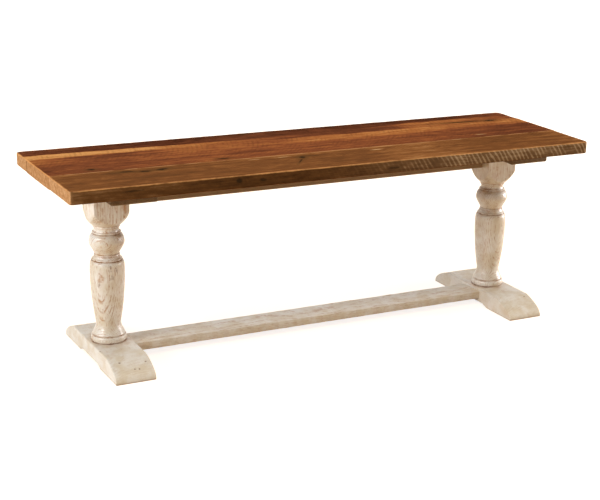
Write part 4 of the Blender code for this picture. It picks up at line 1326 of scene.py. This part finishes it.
# Lamps as (place, target, size, power, colour)
lamps = {
    "key_left": ((-4.6, -1.5, 1.95), (-0.1, 0, 0.25), (1.4, 1.4), 120, (0.98, 1.02, 1.05)),
    "side_left": ((-4.6, 0.6, 1.7), (-0.1, 0, 0.25), (1.4, 1.4), 46, (0.86, 1.0, 1.14)),
    "key_front": ((1.8, -1.7, 2.0), (0.45, 0, 0.15), (1.2, 1.0), 8, (1.0, 0.86, 0.62)),
    "top": ((0.1, -0.7, 3.2), (0, 0, 0.3), (3.0, 2.0), 56, (1.0, 0.95, 0.84)),
    "back": ((0.2, 2.3, 2.6), (0, 0, 0.2), (3.6, 1.6), 32, (1.0, 0.91, 0.76)),
    "rim_right": ((4.9, -0.5, 0.85), (0.2, 0, 0.25), (1.6, 1.2), 165, (1.0, 1.0, 1.0)),
}
view = {"focalPixels": 1419.4, "frameWidth": 600, "shift": -0.1, "place": (-1.522, -2.984, 1.199),
        "yaw": 29.048, "pitch": 16.625, "roll": 1.650}


def seenRays(tree):
    # 1 for what the camera sees, straight, mirrored or through glass
    rays = fields(addNode(tree, "ShaderNodeLightPath").outputs)
    return larger(rays["Is Camera Ray"], larger(rays["Is Glossy Ray"], rays["Is Transmission Ray"]))


def makeStage():
    shape = bmesh.new()
    bmesh.ops.create_grid(shape, x_segments=1, y_segments=1, size=30)
    floor = newPiece("floor", meshFrom(shape, "floor"))
    material, shader, position = newMaterial("pale_floor")
    connect(stage["floor"], shader["Base Color"])
    connect(0.9, shader["Roughness"])
    connect((1, 1, 1), shader["Emission Color"])
    # Less glow under the bench, so that its shadow stays
    glow = put(position.tree, "ShaderNodeMapRange", {
        "Value": softStep(lengthOf(position), *stage["fade"]), "To Min": stage["glow"],
        "To Max": stage["farGlow"]}, "Result")
    connect(seenRays(position.tree) * glow, shader["Emission Strength"])
    coat(floor, material)

    world = bpy.data.worlds.new("studio")
    bpy.context.scene.world = world
    world.use_nodes = True
    tree = world.node_tree
    seen = seenRays(tree)
    background = tree.nodes["Background"].inputs
    connect(mixTones(seen, stage["skyTint"], (1, 1, 1)), background["Color"])
    strength = put(tree, "ShaderNodeMapRange", {
        "Value": seen, "To Min": stage["skyLight"], "To Max": 1.0}, "Result")
    connect(strength, background["Strength"])


def addLamp(name, place, target, size, power, colour):
    light = bpy.data.lights.new(name, "AREA")
    light.color = colour
    light.shape = "RECTANGLE"
    light.size, light.size_y = size
    light.energy = power
    lamp = newPiece(name, light)
    lamp.location = place
    lamp.rotation_euler = (Vector(target) - Vector(place)).to_track_quat("-Z", "Y").to_euler()


def makeCamera():
    yaw, pitch, roll = (math.radians(view[key]) for key in ("yaw", "pitch", "roll"))
    forward = Vector((math.sin(yaw) * math.cos(pitch), math.cos(yaw) * math.cos(pitch),
                      -math.sin(pitch)))
    across = Vector((math.cos(yaw), -math.sin(yaw), 0))
    up = across.cross(forward)
    right = across * math.cos(roll) + up * math.sin(roll)
    upright = up * math.cos(roll) - across * math.sin(roll)
    data = bpy.data.cameras.new("camera")
    data.sensor_width = 36
    data.lens = view["focalPixels"] / view["frameWidth"] * data.sensor_width
    data.shift_x = view["shift"]
    camera = newPiece("camera", data)
    turn = Matrix((right, upright, -forward)).transposed()
    camera.matrix_world = Matrix.Translation(view["place"]) @ turn.to_4x4()
    bpy.context.scene.camera = camera


makeStage()
for name, row in lamps.items():
    addLamp(name, *row)
makeCamera()
bpy.context.scene.view_settings.view_transform = "Standard"
print("stage, lights and camera set")
